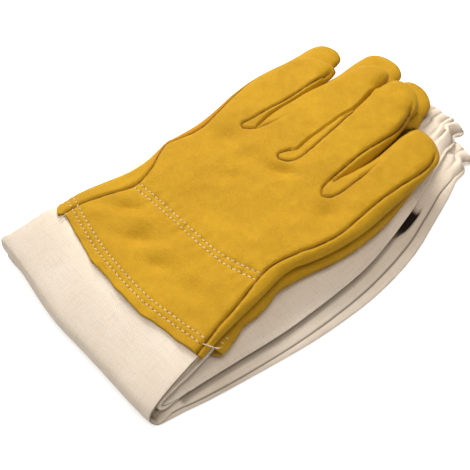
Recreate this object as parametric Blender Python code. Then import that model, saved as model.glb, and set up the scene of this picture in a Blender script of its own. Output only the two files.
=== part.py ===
"""A pair of leather beekeeping gloves with canvas sleeves, laid palm to palm, the sleeves folded under."""

import math

import bmesh
import bpy
from mathutils import Matrix, Vector

MM = 0.001

# Cloth, leather and the clearance between neighbours
GAP = 0.3 * MM
LEATHER = 1.2 * MM
CANVAS = 0.8 * MM
THREAD = 0.5 * MM
ELASTIC = 0.8 * MM

# Heights in the stack, from the floor up
SLEEVE_T = 7.0 * MM
HAND_T = 11.0 * MM
STITCH_ROOM = 0.8 * MM
MID_Z = 2 * SLEEVE_T + GAP + STITCH_ROOM + HAND_T + GAP / 2

# Plan of the right hand: x runs to the little finger, y to the fingertips
WRIST_Y = -60 * MM
HEM_Y = -117 * MM
HEM_BOW = 5.3 * MM
HEM_BOW_AT = 57.5 * MM
HEM_MID_X = 14 * MM
HEM_FAR_X = -61.5 * MM
HEM_NEAR_X = 71.5 * MM
FINGERS = (
    ((58.5 * MM, 19 * MM), (57.5 * MM, 89 * MM), 15.6 * MM, 14.4 * MM),
    ((23 * MM, 19 * MM), (16.5 * MM, 118 * MM), 16.8 * MM, 14.4 * MM),
    ((-13.5 * MM, 21 * MM), (-12.5 * MM, 121 * MM), 15.2 * MM, 13.8 * MM),
    ((-45 * MM, 26 * MM), (-47.5 * MM, 99 * MM), 14.6 * MM, 13.4 * MM),
)
CROTCH_Y = (24 * MM, 26 * MM, 30 * MM)
CROTCH_REACH = 4 * MM
LITTLE_SIDE = (
    (71.5 * MM, None),
    (69 * MM, -90 * MM),
    (65.6 * MM, -58 * MM),
    (67 * MM, -40 * MM),
    (74.5 * MM, -18 * MM),
    (76.5 * MM, 2 * MM),
    (74 * MM, 22 * MM),
)
THUMB_SIDE = (
    (-59.5 * MM, 28 * MM),
    (-55.5 * MM, 8 * MM),
    (-54.5 * MM, -10 * MM),
    (-56 * MM, -28 * MM),
    (-53 * MM, -44 * MM),
    (-52 * MM, -60 * MM),
    (-57 * MM, -88 * MM),
    (-61.5 * MM, None),
)

# The flattened hand: rounded edges, drooping tips, and the hollow that the folded thumb lies in
EDGE = 9 * MM
TIP_DROP = 2 * MM
TIP_DROP_FROM = 70 * MM
TIP_DROP_TO = 135 * MM
RECESS = 4.3 * MM
RECESS_X = (15 * MM, -30 * MM)
RECESS_IN_Y = (-90 * MM, -55 * MM)
RECESS_OUT_Y = (52 * MM, 88 * MM)
GRID_X = (RECESS_X[1], sum(RECESS_X) / 2, RECESS_X[0])
GRID_Y = (RECESS_IN_Y[0], sum(RECESS_IN_Y) / 2, RECESS_IN_Y[1], RECESS_OUT_Y[0], TIP_DROP_FROM, RECESS_OUT_Y[1])
SEAM_UP = 2.2 * MM
SEAM_SHARE = SEAM_UP / (HAND_T / 2)

# Room that the cutters take beyond the hand
GUSSET_BELOW = 10 * MM
PAST_TIPS = 10 * MM
PAST_HEM = 15 * MM
PAST_FACES = 5 * MM
CUTTER_X = 120 * MM
CUTTER_Y = (-160 * MM, 180 * MM)

# Thumb stall, folded flat on the palm
THUMB_PIVOT = (-44 * MM, -30 * MM)
THUMB_TIP = (-43 * MM, 38 * MM)
THUMB_BASE_R = 13 * MM
THUMB_TIP_R = 11.5 * MM
THUMB_T = 3.85 * MM
THUMB_EDGE = 7 * MM
THUMB_WALL = 1.0 * MM
THUMB_HOLE_R = 8 * MM
THUMB_HOLE_Z = (2.6 * MM, 6.6 * MM)

# Stitching and the wrist elastic
WRIST_ROWS = (WRIST_Y + 0.5 * MM, WRIST_Y - 3.3 * MM)
WRIST_ROW_X = (-42 * MM, 54 * MM)
WRIST_RISE = 4 * MM
WRIST_RISE_X = (34 * MM, 58 * MM)
HEM_ROWS = (6 * MM, 10 * MM)
HEM_ROW_X = (-50 * MM, 60 * MM)
WRIST_ELASTIC_W = 10 * MM

# Folded sleeves
FOLD_Y = -131 * MM
FOLD_ROOM = 1.0 * MM
FOLD_Z = 2 * SLEEVE_T + GAP + FOLD_ROOM
RIGHT_FOLD_UP = 14.2 * MM
CASING_L = 18.7 * MM
CASING_WALL = 1.4 * MM
CASING_RIPPLE = 0.35 * MM
CASING_PINCH = 2 * MM
CASING_PINCH_FROM = 5 * MM
CASING_PINCH_TO = 13 * MM
STRAIGHT_POINTS = 20
ROUND_POINTS = 4
ARM_ELASTIC = 0.45 * MM
ELASTIC_FROM = 4 * MM
ELASTIC_TO = 14 * MM

GLOVES = {
    "right": {
        "up": 1,
        "shift": (0.0, 0.0),
        "turn": 0.0,
        "splay": ((0.0, 0.0), (0.0, 0.0), (0.0, 0.0), (0.0, 0.0)),
        "under_z": SLEEVE_T / 2,
        "upper_z": FOLD_Z + RIGHT_FOLD_UP,
        "run": (
            (-131 * MM, 2.25 * MM, 75.25 * MM),
            (-88 * MM, 5 * MM, 82 * MM),
            (-52 * MM, 7.25 * MM, 86.25 * MM),
            (0 * MM, 9.25 * MM, 88.75 * MM),
            (40 * MM, 9.25 * MM, 85.25 * MM),
            (75 * MM, 7.75 * MM, 77.75 * MM),
            (97 * MM, 8.75 * MM, 70.75 * MM),
            (112 * MM, 10.75 * MM, 64.75 * MM),
        ),
        "cuff": ((-131 * MM, 1 * MM, 71 * MM), (-119 * MM, 5 * MM, 63.3 * MM), (-102 * MM, 5.2 * MM, 61.3 * MM)),
    },
    "left": {
        "up": -1,
        "shift": (0.0, 16 * MM),
        "turn": math.radians(2.2),
        "splay": ((-4 * MM, -12 * MM), (9 * MM, -5 * MM), (2 * MM, 0.0), (0.0, 2 * MM)),
        "under_z": 1.5 * SLEEVE_T + GAP,
        "upper_z": FOLD_Z + FOLD_ROOM + SLEEVE_T / 2,
        "run": (
            (-131 * MM, 1.5 * MM, 69.5 * MM),
            (-88 * MM, 2.75 * MM, 74.75 * MM),
            (-52 * MM, 3.5 * MM, 78.5 * MM),
            (0 * MM, 3.5 * MM, 80.5 * MM),
            (56 * MM, 0.25 * MM, 75.25 * MM),
            (100 * MM, -1.5 * MM, 63.5 * MM),
            (122 * MM, 0 * MM, 55 * MM),
        ),
        "cuff": ((-131 * MM, 1.5 * MM, 68.5 * MM), (-103 * MM, 5 * MM, 63 * MM), (-86 * MM, 4.6 * MM, 60.8 * MM)),
    },
}

LEATHER_COLOUR = (0.68, 0.37, 0.025, 1)
FOURCHETTE_COLOUR = (0.60, 0.31, 0.02, 1)
CANVAS_COLOUR = (0.82, 0.70, 0.57, 1)
THREAD_COLOUR = (0.86, 0.80, 0.68, 1)
ELASTIC_COLOUR = (0.80, 0.78, 0.74, 1)


def material(name, colour, roughness):
    made = bpy.data.materials.new(name)
    made.use_nodes = True
    shader = made.node_tree.nodes["Principled BSDF"]
    shader.inputs["Base Color"].default_value = colour
    shader.inputs["Roughness"].default_value = roughness
    shader.inputs["Metallic"].default_value = 0.0
    made.diffuse_color = colour
    return made


def ramp(value, start, end):
    return min(1.0, max(0.0, (value - start) / (end - start)))


def hem_y(x):
    return HEM_Y + HEM_BOW * ((x - HEM_MID_X) / HEM_BOW_AT) ** 2


def back_height(x, y):
    return GAP / 2 + HAND_T - TIP_DROP * ramp(y, TIP_DROP_FROM, TIP_DROP_TO)


def palm_height(x, y):
    along = ramp(y, *RECESS_IN_Y) * (1 - ramp(y, *RECESS_OUT_Y))
    return GAP / 2 + RECESS * ramp(x, *RECESS_X) * along


def thumb_top(x, y):
    return GAP / 2 + THUMB_T


def thumb_bottom(x, y):
    return GAP / 2


def place_of(glove):
    """Where a hand, modelled straight, lies in the stack: turned a little about its hem and shifted along."""
    right, along = glove["shift"]
    turned = Matrix.Rotation(glove["turn"], 4, "Z") @ Matrix.Translation((0, -HEM_Y, 0))
    return Matrix.Translation((right, HEM_Y + along, 0)) @ turned


def level_point(glove, x, y, z):
    """A point of the straight hand, with z counted from the plane where the two palms meet."""
    return Vector((x, y, MID_Z + glove["up"] * z))


def seat(glove, x, y, z):
    return place_of(glove) @ level_point(glove, x, y, z)


def through(points, steps):
    """A smooth line through the points of one side of the hand."""
    line = []
    last = len(points) - 1
    for n in range(last):
        a = points[max(n - 1, 0)]
        b = points[n]
        c = points[n + 1]
        d = points[min(n + 2, last)]
        for k in range(steps):
            t = k / steps
            line.append(tuple(
                0.5 * (2 * b[i] + (c[i] - a[i]) * t + (2 * a[i] - 5 * b[i] + 4 * c[i] - d[i]) * t * t
                       + (3 * b[i] - a[i] - 3 * c[i] + d[i]) * t ** 3)
                for i in (0, 1)
            ))
    line.append(points[last])
    return line


def fingers_of(glove):
    """The four fingers from little to index, their tips moved by the glove's own splay."""
    moved = []
    for (base, tip, wide, narrow), (right, up) in zip(FINGERS, glove["splay"]):
        moved.append((base, (tip[0] + right, tip[1] + up), wide, narrow))
    return moved


def side_point(finger, side, inset, y):
    """The point at height y on one side of a finger, side being 1 towards the little finger."""
    base, tip, wide, narrow = finger
    t = (y - base[1]) / (tip[1] - base[1])
    half = wide + (narrow - wide) * t - inset
    return (base[0] + (tip[0] - base[0]) * t + side * half, y)


def hand_outline(glove, inset, past):
    """The edge of the hand, moved in by inset; past carries the open end beyond the hem."""
    points = []
    fingers = fingers_of(glove)
    for n in range(6):
        x = HEM_FAR_X + inset + (HEM_NEAR_X - HEM_FAR_X - 2 * inset) * n / 5
        points.append((x, hem_y(x) - past))
    little_side = [(x, hem_y(x) if y is None else y) for x, y in LITTLE_SIDE]
    for x, y in through(little_side, 2)[1:]:
        points.append((x - inset, y))
    for n, finger in enumerate(fingers):
        tip = finger[1]
        radius = finger[3] - inset
        for k in range(7):
            turn = math.pi * k / 6
            points.append((tip[0] + radius * math.cos(turn), tip[1] + radius * math.sin(turn)))
        if n == 3:
            break
        top = CROTCH_Y[n] + CROTCH_REACH
        right = side_point(finger, -1, inset, top)
        left = side_point(fingers[n + 1], 1, inset, top)
        centre = (right[0] + left[0]) / 2
        half = (right[0] - left[0]) / 2
        for k in range(5):
            turn = math.pi * k / 4
            points.append((
                centre + half * math.cos(turn),
                top - (CROTCH_REACH + inset) * math.sin(turn),
            ))
    thumb_side = [(x, hem_y(x) if y is None else y) for x, y in THUMB_SIDE]
    for x, y in through(thumb_side, 2)[:-1]:
        points.append((x + inset, y))
    return points


def thumb_outline(glove, inset, past):
    points = []
    for centre, radius, start in ((THUMB_TIP, THUMB_TIP_R, 0.0), (THUMB_PIVOT, THUMB_BASE_R, math.pi)):
        for k in range(9):
            turn = start + math.pi * k / 8
            points.append((
                centre[0] + (radius - inset) * math.cos(turn),
                centre[1] + (radius - inset) * math.sin(turn),
            ))
    return points


def on_grid(form):
    """Lines across a flat form, so that it can follow a surface that isn't flat."""
    for x in GRID_X:
        bmesh.ops.bisect_plane(
            form, geom=form.verts[:] + form.edges[:] + form.faces[:], dist=1e-6,
            plane_co=(x, 0, 0), plane_no=(1, 0, 0),
        )
    for y in GRID_Y:
        bmesh.ops.bisect_plane(
            form, geom=form.verts[:] + form.edges[:] + form.faces[:], dist=1e-6,
            plane_co=(0, y, 0), plane_no=(0, 1, 0),
        )


def loft(rings, cyclic):
    """A skin from ring to ring, its two ends capped, or joined to each other when cyclic."""
    form = bmesh.new()
    rows = [[form.verts.new(point) for point in ring] for ring in rings]
    count = len(rows[0])
    pairs = list(zip(rows, rows[1:]))
    if cyclic:
        pairs.append((rows[-1], rows[0]))
    for low, high in pairs:
        for n in range(count):
            m = (n + 1) % count
            form.faces.new((low[n], low[m], high[m], high[n]))
    if not cyclic:
        form.faces.new(rows[0])
        form.faces.new(rows[-1])
    bmesh.ops.recalc_face_normals(form, faces=form.faces[:])
    return form


def as_object(name, form, collection, colour=None, empty=None, place=None):
    bmesh.ops.triangulate(form, faces=form.faces[:])
    bmesh.ops.recalc_face_normals(form, faces=form.faces[:])
    mesh = bpy.data.meshes.new(name)
    form.to_mesh(mesh)
    form.free()
    made = bpy.data.objects.new(name, mesh)
    collection.objects.link(made)
    if colour:
        mesh.materials.append(colour)
    if empty:
        made.parent = empty
        made.matrix_parent_inverse = Matrix.Translation(-empty.location)
    if place:
        made.matrix_basis = place
    if collection is cutters:
        made.hide_render = True
        made.display_type = "WIRE"
    return made


def pillow(glove, outline, edge, low, high, wall, past):
    """The flattened form inside an outline, thick in the middle and closing at its edge."""
    rings = []
    for degrees in (-90, -45, 0, 45, 90):
        angle = math.radians(degrees)
        inset = wall + (edge - wall) * (1 - math.cos(angle))
        rings.append([(x, y, math.sin(angle)) for x, y in outline(glove, inset, past)])
    form = loft(rings, False)
    on_grid(form)
    for vertex in form.verts:
        x, y, w = vertex.co
        middle = (low(x, y) + high(x, y)) / 2
        half = (high(x, y) - low(x, y)) / 2 - wall
        vertex.co = level_point(glove, x, y, middle + w * half)
    return form


def slab(glove, corners, low, high):
    """A block over a plan with corners, its two faces following functions of the plan."""
    form = loft([[(x, y, 0) for x, y in corners], [(x, y, 1) for x, y in corners]], False)
    on_grid(form)
    for vertex in form.verts:
        x, y, which = vertex.co
        vertex.co = level_point(glove, x, y, high(x, y) if which > 0.5 else low(x, y))
    return form


def hand_level(share, extra):
    """The surface at a share of the hand's half thickness above its middle."""
    def level(x, y):
        middle = (palm_height(x, y) + back_height(x, y)) / 2
        half = (back_height(x, y) - palm_height(x, y)) / 2
        return middle + share * half + extra
    return level


def flat_level(z):
    def level(x, y):
        return z
    return level


def cut(made, cutter, operation):
    modifier = made.modifiers.new(cutter.name, "BOOLEAN")
    modifier.operation = operation
    modifier.solver = "EXACT"
    modifier.object = cutter


def middle_x(finger, y):
    return side_point(finger, 1, finger[2], y)[0]


def gap_zone(glove, n):
    """The plan between the middle lines of two neighbouring fingers, from below their crotch past their tips."""
    right = fingers_of(glove)[n]
    left = fingers_of(glove)[n + 1]
    low = CROTCH_Y[n] - GUSSET_BELOW
    high = TIP_DROP_TO + PAST_TIPS
    return [(middle_x(left, low), low), (middle_x(right, low), low), (right[1][0], high), (left[1][0], high)]


def gusset_room(glove):
    """The plan that all three fourchettes take out of the palm panel, a gap wider than they are."""
    fingers = fingers_of(glove)
    points = []
    for n in (2, 1, 0):
        low = CROTCH_Y[n] - GUSSET_BELOW - GAP
        points.append((middle_x(fingers[n + 1], low) - (GAP if n == 2 else 0), low))
        points.append((middle_x(fingers[n], low) + (GAP if n == 0 else 0), low))
    high = TIP_DROP_TO + PAST_TIPS
    points.append((fingers[0][1][0] + GAP, high))
    points.append((fingers[3][1][0] - GAP, high))
    return points


def circle(centre, radius, count):
    return [
        (centre[0] + radius * math.cos(2 * math.pi * n / count), centre[1] + radius * math.sin(2 * math.pi * n / count))
        for n in range(count)
    ]


def stadium(half_width, half_height):
    """A flattened ring: two straight sides joined by half circles."""
    reach = half_width - half_height
    points = []
    for side in (1, -1):
        for n in range(STRAIGHT_POINTS):
            points.append((side * reach * (2 * n / STRAIGHT_POINTS - 1), -side * half_height))
        for n in range(ROUND_POINTS):
            turn = math.pi * (n / ROUND_POINTS - 0.5)
            points.append((
                side * (reach + half_height * math.cos(turn)),
                side * half_height * math.sin(turn),
            ))
    return points


def sleeve_ring(half_width, half_height):
    """The section of the flattened sleeve, with round sides."""
    points = []
    for side in (1, -1):
        for k in range(6):
            turn = math.pi * (k / 5 - 0.5)
            points.append((
                side * (half_width - half_height + half_height * math.cos(turn)),
                side * half_height * math.sin(turn),
            ))
    return points


def tube(stations):
    """A canvas tube through stations of (point, up, half width, half height)."""
    outer = []
    inner = []
    for point, up, half_width, half_height in stations:
        for rings, inset in ((outer, 0.0), (inner, CANVAS)):
            rings.append([
                (point[0] + a, point[1] + b * up[0], point[2] + b * up[1])
                for a, b in sleeve_ring(half_width - inset, half_height - inset)
            ])
    return loft(outer + inner[::-1], True)


def thread(name, glove, places, colour, empty):
    curve = bpy.data.curves.new(name, "CURVE")
    curve.dimensions = "3D"
    curve.bevel_depth = THREAD / 2
    curve.bevel_resolution = 0
    curve.use_fill_caps = True
    spline = curve.splines.new("POLY")
    spline.points.add(len(places) - 1)
    for point, (x, y) in zip(spline.points, places):
        point.co = (*seat(glove, x, y, back_height(x, y) + GAP + THREAD / 2), 1)
    curve.materials.append(colour)
    made = bpy.data.objects.new(name, curve)
    parts.objects.link(made)
    made.parent = empty
    made.matrix_parent_inverse = Matrix.Translation(-empty.location)
    return made


def joint_empty(name, place):
    made = bpy.data.objects.new(name, None)
    made.empty_display_size = 0.02
    made.location = place
    parts.objects.link(made)
    return made


def make_hand(side, glove, axis, thumb_axis):
    place = place_of(glove)
    inner = as_object(side + "_hand_hollow", pillow(
        glove, hand_outline, EDGE, palm_height, back_height, LEATHER, PAST_HEM), cutters, place=place)
    wide = [
        (-CUTTER_X, CUTTER_Y[0]), (CUTTER_X, CUTTER_Y[0]), (CUTTER_X, CUTTER_Y[1]), (-CUTTER_X, CUTTER_Y[1]),
    ]
    above = as_object(side + "_above_seam", slab(
        glove, wide, hand_level(SEAM_SHARE, GAP / 2), hand_level(2, PAST_FACES)), cutters, place=place)
    below = as_object(side + "_below_seam", slab(
        glove, wide, hand_level(-2, -PAST_FACES), hand_level(SEAM_SHARE, -GAP / 2)), cutters, place=place)

    def panel(name, colour):
        made = as_object(name, pillow(
            glove, hand_outline, EDGE, palm_height, back_height, 0.0, 0.0), parts, colour, axis, place)
        cut(made, inner, "DIFFERENCE")
        return made

    cut(panel(side + "_back_panel", leather), above, "INTERSECT")
    palm = panel(side + "_palm_panel", leather)
    cut(palm, below, "INTERSECT")
    for n, between in enumerate(("ring_little", "middle_ring", "index_middle")):
        zone = as_object(side + "_gap_" + between, slab(
            glove, gap_zone(glove, n),
            hand_level(-SEAM_SHARE, GAP / 2), hand_level(SEAM_SHARE, -GAP / 2)), cutters, place=place)
        cut(panel(side + "_fourchette_" + between, gusset), zone, "INTERSECT")
    clear = as_object(side + "_gusset_room", slab(
        glove, gusset_room(glove), hand_level(-SEAM_SHARE, -GAP / 2), hand_level(2, 0.0)), cutters, place=place)
    cut(palm, clear, "DIFFERENCE")
    hole = as_object(side + "_thumb_hole", slab(
        glove, circle(THUMB_PIVOT, THUMB_HOLE_R, 16),
        flat_level(THUMB_HOLE_Z[0]), flat_level(THUMB_HOLE_Z[1])), cutters, place=place)
    cut(palm, hole, "DIFFERENCE")

    thumb_inner = as_object(side + "_thumb_hollow", pillow(
        glove, thumb_outline, THUMB_EDGE, thumb_bottom, thumb_top, THUMB_WALL, 0.0), cutters, place=place)
    split = GAP / 2 + THUMB_T / 2
    for name, low, high in (
        ("front", -PAST_FACES, split - GAP / 2), ("back", split + GAP / 2, THUMB_T + PAST_FACES),
    ):
        half = as_object(side + "_thumb_half_" + name, slab(
            glove, wide, flat_level(low), flat_level(high)), cutters, place=place)
        made = as_object(side + "_thumb_" + name, pillow(
            glove, thumb_outline, THUMB_EDGE, thumb_bottom, thumb_top, 0.0, 0.0), parts, gusset, thumb_axis, place)
        cut(made, thumb_inner, "DIFFERENCE")
        cut(made, half, "INTERSECT")
        if name == "back":
            cut(made, hole, "DIFFERENCE")

    row_mid = sum(WRIST_ROWS) / 2
    elastic_plan = [
        (WRIST_ROW_X[0], row_mid - WRIST_ELASTIC_W / 2),
        (WRIST_ROW_X[1], row_mid - WRIST_ELASTIC_W / 2),
        (WRIST_ROW_X[1], row_mid + WRIST_ELASTIC_W / 2),
        (WRIST_ROW_X[0], row_mid + WRIST_ELASTIC_W / 2),
    ]
    inside = GAP / 2 + HAND_T - LEATHER - GAP
    as_object(side + "_wrist_elastic", slab(
        glove, elastic_plan, flat_level(inside - ELASTIC), flat_level(inside)), parts, elastic, axis, place)

    for n, y in enumerate(WRIST_ROWS):
        places = []
        for k in range(13):
            x = WRIST_ROW_X[0] + (WRIST_ROW_X[1] - WRIST_ROW_X[0]) * k / 12
            places.append((x, y + WRIST_RISE * ramp(x, *WRIST_RISE_X)))
        thread(side + "_wrist_stitch_row_" + "ab"[n], glove, places, stitch, axis)
    for n, up in enumerate(HEM_ROWS):
        places = []
        for k in range(15):
            x = HEM_ROW_X[0] + (HEM_ROW_X[1] - HEM_ROW_X[0]) * k / 14
            places.append((x, hem_y(x) + up))
        thread(side + "_hem_stitch_row_" + "ab"[n], glove, places, stitch, axis)


def make_sleeve(side, glove, axis, run_axis):
    half = SLEEVE_T / 2
    under_z = glove["under_z"]
    upper_z = glove["upper_z"]
    run = glove["run"]
    cuff = glove["cuff"]
    stations = []
    for n, (y, x, wide) in enumerate(run):
        stations.append(((x, y + (GAP / 2 if n == 0 else 0), under_z), (0, 1), wide, half))
    as_object(side + "_sleeve_under", tube(stations), parts, canvas, run_axis)

    cuff_z = MID_Z + glove["up"] * (GAP / 2 + HAND_T / 2)
    stations = []
    for n, (y, x, wide) in enumerate(cuff):
        stations.append(((x, y + (GAP / 2 if n == 0 else 0), cuff_z if n else upper_z), (0, 1), wide, half))
    as_object(side + "_sleeve_upper", tube(stations), parts, canvas, axis)

    middle = (under_z + upper_z) / 2
    radius = (upper_z - under_z) / 2
    stations = []
    for k in range(9):
        turn = math.pi * k / 8
        share = k / 8
        x = run[0][1] + (cuff[0][1] - run[0][1]) * share
        wide = run[0][2] + (cuff[0][2] - run[0][2]) * share
        stations.append((
            (x, FOLD_Y - GAP / 2 - radius * math.sin(turn), middle - radius * math.cos(turn)),
            (-math.sin(turn), -math.cos(turn)), wide, half,
        ))
    as_object(side + "_sleeve_fold", tube(stations), parts, canvas, run_axis)

    y, x, wide = run[-1]
    y += GAP

    def ring(along, wide, high, ripple):
        points = []
        for n, (a, b) in enumerate(stadium(wide, high)):
            pull = 1 - ripple * (0, 0.5, 1, 0.5)[n % 4] / high
            points.append((x + a, y + along, under_z + b * pull))
        return points

    mouth = half - CASING_WALL
    narrow = wide - CASING_WALL
    groove = ARM_ELASTIC + GAP
    as_object(side + "_cuff_casing", loft([
        ring(0, wide, half, 0), ring(CASING_PINCH_FROM, wide - CASING_PINCH, half, CASING_RIPPLE),
        ring(CASING_PINCH_TO, wide - CASING_PINCH, half, CASING_RIPPLE), ring(CASING_L, wide, half, CASING_RIPPLE),
        ring(CASING_L, narrow - CASING_PINCH, mouth, 0), ring(ELASTIC_TO, narrow - CASING_PINCH, mouth, 0),
        ring(ELASTIC_TO, narrow - CASING_PINCH + groove, mouth + groove, 0),
        ring(ELASTIC_FROM, narrow - CASING_PINCH + groove, mouth + groove, 0),
        ring(ELASTIC_FROM, narrow - CASING_PINCH, mouth, 0), ring(0, narrow - CASING_PINCH, mouth, 0),
    ], True), parts, canvas, run_axis)
    as_object(side + "_arm_elastic", loft([
        ring(ELASTIC_FROM + GAP, narrow - CASING_PINCH + ARM_ELASTIC, mouth + ARM_ELASTIC, 0),
        ring(ELASTIC_TO - GAP, narrow - CASING_PINCH + ARM_ELASTIC, mouth + ARM_ELASTIC, 0),
        ring(ELASTIC_TO - GAP, narrow - CASING_PINCH, mouth, 0),
        ring(ELASTIC_FROM + GAP, narrow - CASING_PINCH, mouth, 0),
    ], True), parts, elastic, run_axis)


for old in list(bpy.data.objects):
    bpy.data.objects.remove(old, do_unlink=True)
parts = bpy.data.collections.new("beekeeping_gloves")
cutters = bpy.data.collections.new("cutters")
bpy.context.scene.collection.children.link(parts)
bpy.context.scene.collection.children.link(cutters)

leather = material("leather", LEATHER_COLOUR, 0.7)
gusset = material("gusset_leather", FOURCHETTE_COLOUR, 0.72)
canvas = material("canvas", CANVAS_COLOUR, 0.9)
stitch = material("thread", THREAD_COLOUR, 0.6)
elastic = material("elastic", ELASTIC_COLOUR, 0.8)

for side, glove in GLOVES.items():
    hand_axis = joint_empty(side + "_fold_axis", (0, FOLD_Y, FOLD_Z))
    run_axis = joint_empty(side + "_run_axis", (0, FOLD_Y, glove["under_z"]))
    thumb_axis = joint_empty(side + "_thumb_axis", seat(glove, *THUMB_PIVOT, GAP / 2))
    make_hand(side, glove, hand_axis, thumb_axis)
    make_sleeve(side, glove, hand_axis, run_axis)
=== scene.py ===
"""A folded pair of beekeeping gloves: leather hands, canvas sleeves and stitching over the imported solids."""
import math

import bmesh
import bpy
import numpy as np
from mathutils import Matrix, Vector
from mathutils.geometry import delaunay_2d_cdt
from mathutils.kdtree import KDTree


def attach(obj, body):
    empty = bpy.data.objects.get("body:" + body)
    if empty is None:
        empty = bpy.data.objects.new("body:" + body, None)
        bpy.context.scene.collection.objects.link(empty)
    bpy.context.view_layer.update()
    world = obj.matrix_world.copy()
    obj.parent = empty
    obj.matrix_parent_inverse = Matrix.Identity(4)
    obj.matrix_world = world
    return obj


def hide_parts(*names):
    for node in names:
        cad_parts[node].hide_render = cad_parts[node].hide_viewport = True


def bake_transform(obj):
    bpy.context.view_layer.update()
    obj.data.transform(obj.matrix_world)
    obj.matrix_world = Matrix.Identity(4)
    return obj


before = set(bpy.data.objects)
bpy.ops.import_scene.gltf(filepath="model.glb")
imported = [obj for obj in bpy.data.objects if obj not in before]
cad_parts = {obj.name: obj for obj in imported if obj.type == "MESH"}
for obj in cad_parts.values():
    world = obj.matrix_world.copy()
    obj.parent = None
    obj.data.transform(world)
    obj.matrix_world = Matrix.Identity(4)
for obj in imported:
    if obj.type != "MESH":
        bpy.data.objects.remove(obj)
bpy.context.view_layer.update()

MM = 0.001
ON_LINE = 1e-3

# Heights and thicknesses of the stack, in millimetres like all plan sizes here
MID_Z = 26.25
HAND_LOW = 0.15
HAND_HIGH = 11.15
LEATHER = 1.3
HEM_Y = -117.0

# How each hand lies: back up or palm up, moved along, turned about its hem, and its fingers spread. A spread
# moves the right side and the left side of a finger across and along at its tip
UNSPREAD = ((0, 0), (0, 0))
GLOVES = {
    "right": {"up": 1, "along": 0.0, "turn": 0.0, "seed": 3, "spread": (UNSPREAD,) * 4},
    "left": {"up": -1, "along": 16.0, "turn": 2.2, "seed": 8, "spread": (
        ((-4, -12), (-4, -12)), ((8.5, -1), (9, 0)), ((7.5, 7), (-0.6, 9)), ((-6.5, 13), (-0.5, 11)))},
}
SPREAD_ALONG = (18.0, 112.0)

# The edge of the hand, from the photographed right glove: sides of the fingers from root to tip
HEM_SEWN = (
    (-61.5, -101.4), (-57, -103.5), (-50, -105.6), (-40, -108.2), (-31.5, -110.2), (-18, -113),
    (-6.4, -114.7), (14.2, -116.4), (32.4, -116.4), (47.1, -114.8), (60.3, -113.1), (70.6, -111.4),
    (73.8, -109.4),
)
# The far strip ends a little beyond the back panel, so the cut edge steps back at its seam
HEM_EDGE = (
    (-61.5, -101), (-59.0, -103.6), (-56.0, -106.4), (-53.0, -108.4), (-51.4, -107.6), (-49.8, -105.8),
) + HEM_SEWN[3:]
LEFT_HEM_DROP = 5.2
LEFT_HEM_ALONG = (15, 71.5)
HEM_WAVES = ((41, 0.35), (23, 0.2), (12, 0.1))
HEM_WAVES_FADE = 8
NEAR_SIDES = {
    "right": (
        (73.8, -109.4), (71.6, -98), (70.2, -88), (68.4, -72), (66.8, -58), (65.0, -45), (65.4, -34),
        (69.0, -23), (72.6, -8), (74.6, 7), (75.0, 20), (74.2, 36), (73.2, 55), (72.4, 72), (70.4, 82),
    ),
    "left": (
        (74.4, -115), (72.8, -105), (69.8, -94), (70.4, -84), (69.6, -74), (67.4, -65), (68.8, -55),
        (72.0, -41), (76.6, -25), (79.0, -10), (80.0, 6), (79.0, 24), (75.6, 46), (71.8, 66), (66.8, 76),
    ),
}
FAR_SIDE = (
    (-62.4, 90), (-63.6, 76), (-64.0, 62), (-63.2, 46), (-60.6, 30), (-57.4, 14), (-56.0, 0), (-56.2, -14),
    (-57.0, -25), (-54.4, -34), (-52.6, -44), (-52.8, -57), (-56.0, -70), (-59.4, -84), (-61.5, -101),
)
LITTLE_LEFT = ((38.2, 27), (39.6, 40), (40.6, 54), (40.8, 68), (39.4, 86))
RING_RIGHT = ((37.7, 27), (39.0, 40), (39.6, 54), (39.2, 68), (37.4, 86), (33.8, 102), (30.8, 109))
RING_LEFT = (
    (3.2, 26), (4.6, 31), (3.7, 40), (3.4, 54), (3.4, 68), (4.0, 80), (3.2, 92), (0.0, 106), (-2.0, 114),
)
MIDDLE_RIGHT = (
    (2.8, 26), (4.1, 31), (3.1, 40), (2.8, 54), (2.7, 68), (3.2, 80), (2.3, 92), (-0.6, 106), (-2.2, 116),
)
MIDDLE_LEFT = ((-27.6, 27), (-28.7, 36), (-29.1, 54), (-28.6, 72), (-27.8, 90), (-27.8, 104), (-27.4, 115))
INDEX_RIGHT = ((-28.0, 27), (-29.2, 36), (-29.6, 54), (-29.4, 72), (-29.6, 86), (-30.6, 95))
# Reach past the last side points and sideways lean of each fingertip
TIPS = {
    "right": ((19.0, -6.0), (20.6, -4.0), (18.0, 2.0), (17.0, 4.0)),
    "left": ((19.5, -4.5), (19.6, -2.8), (15.8, -1.0), (16.8, -3.0)),
}
TIP_SQUARE = 0.86
CROTCH_DEPTH = 0.5
# The roll of each finger's right and left side: its width, and the stretch of the finger along which it grows
# to that from the flat bottom of the gap
ROLLS = (
    ((9.5, None), (8.5, (26, 62))), ((6.5, (22, 46)), (1.8, (62, 110))),
    ((1.8, (62, 110)), (7.0, (60, 105))), ((6.0, (60, 100)), (10.0, None)),
)
TIP_ROLL = (10.0, None)
CROTCH_ROLL = (2.0, (26, 60))
ROLL_LEAST = 0.28
ROLL_CLOSED = 0.7
PALM_ROLL = 1.05

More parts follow.
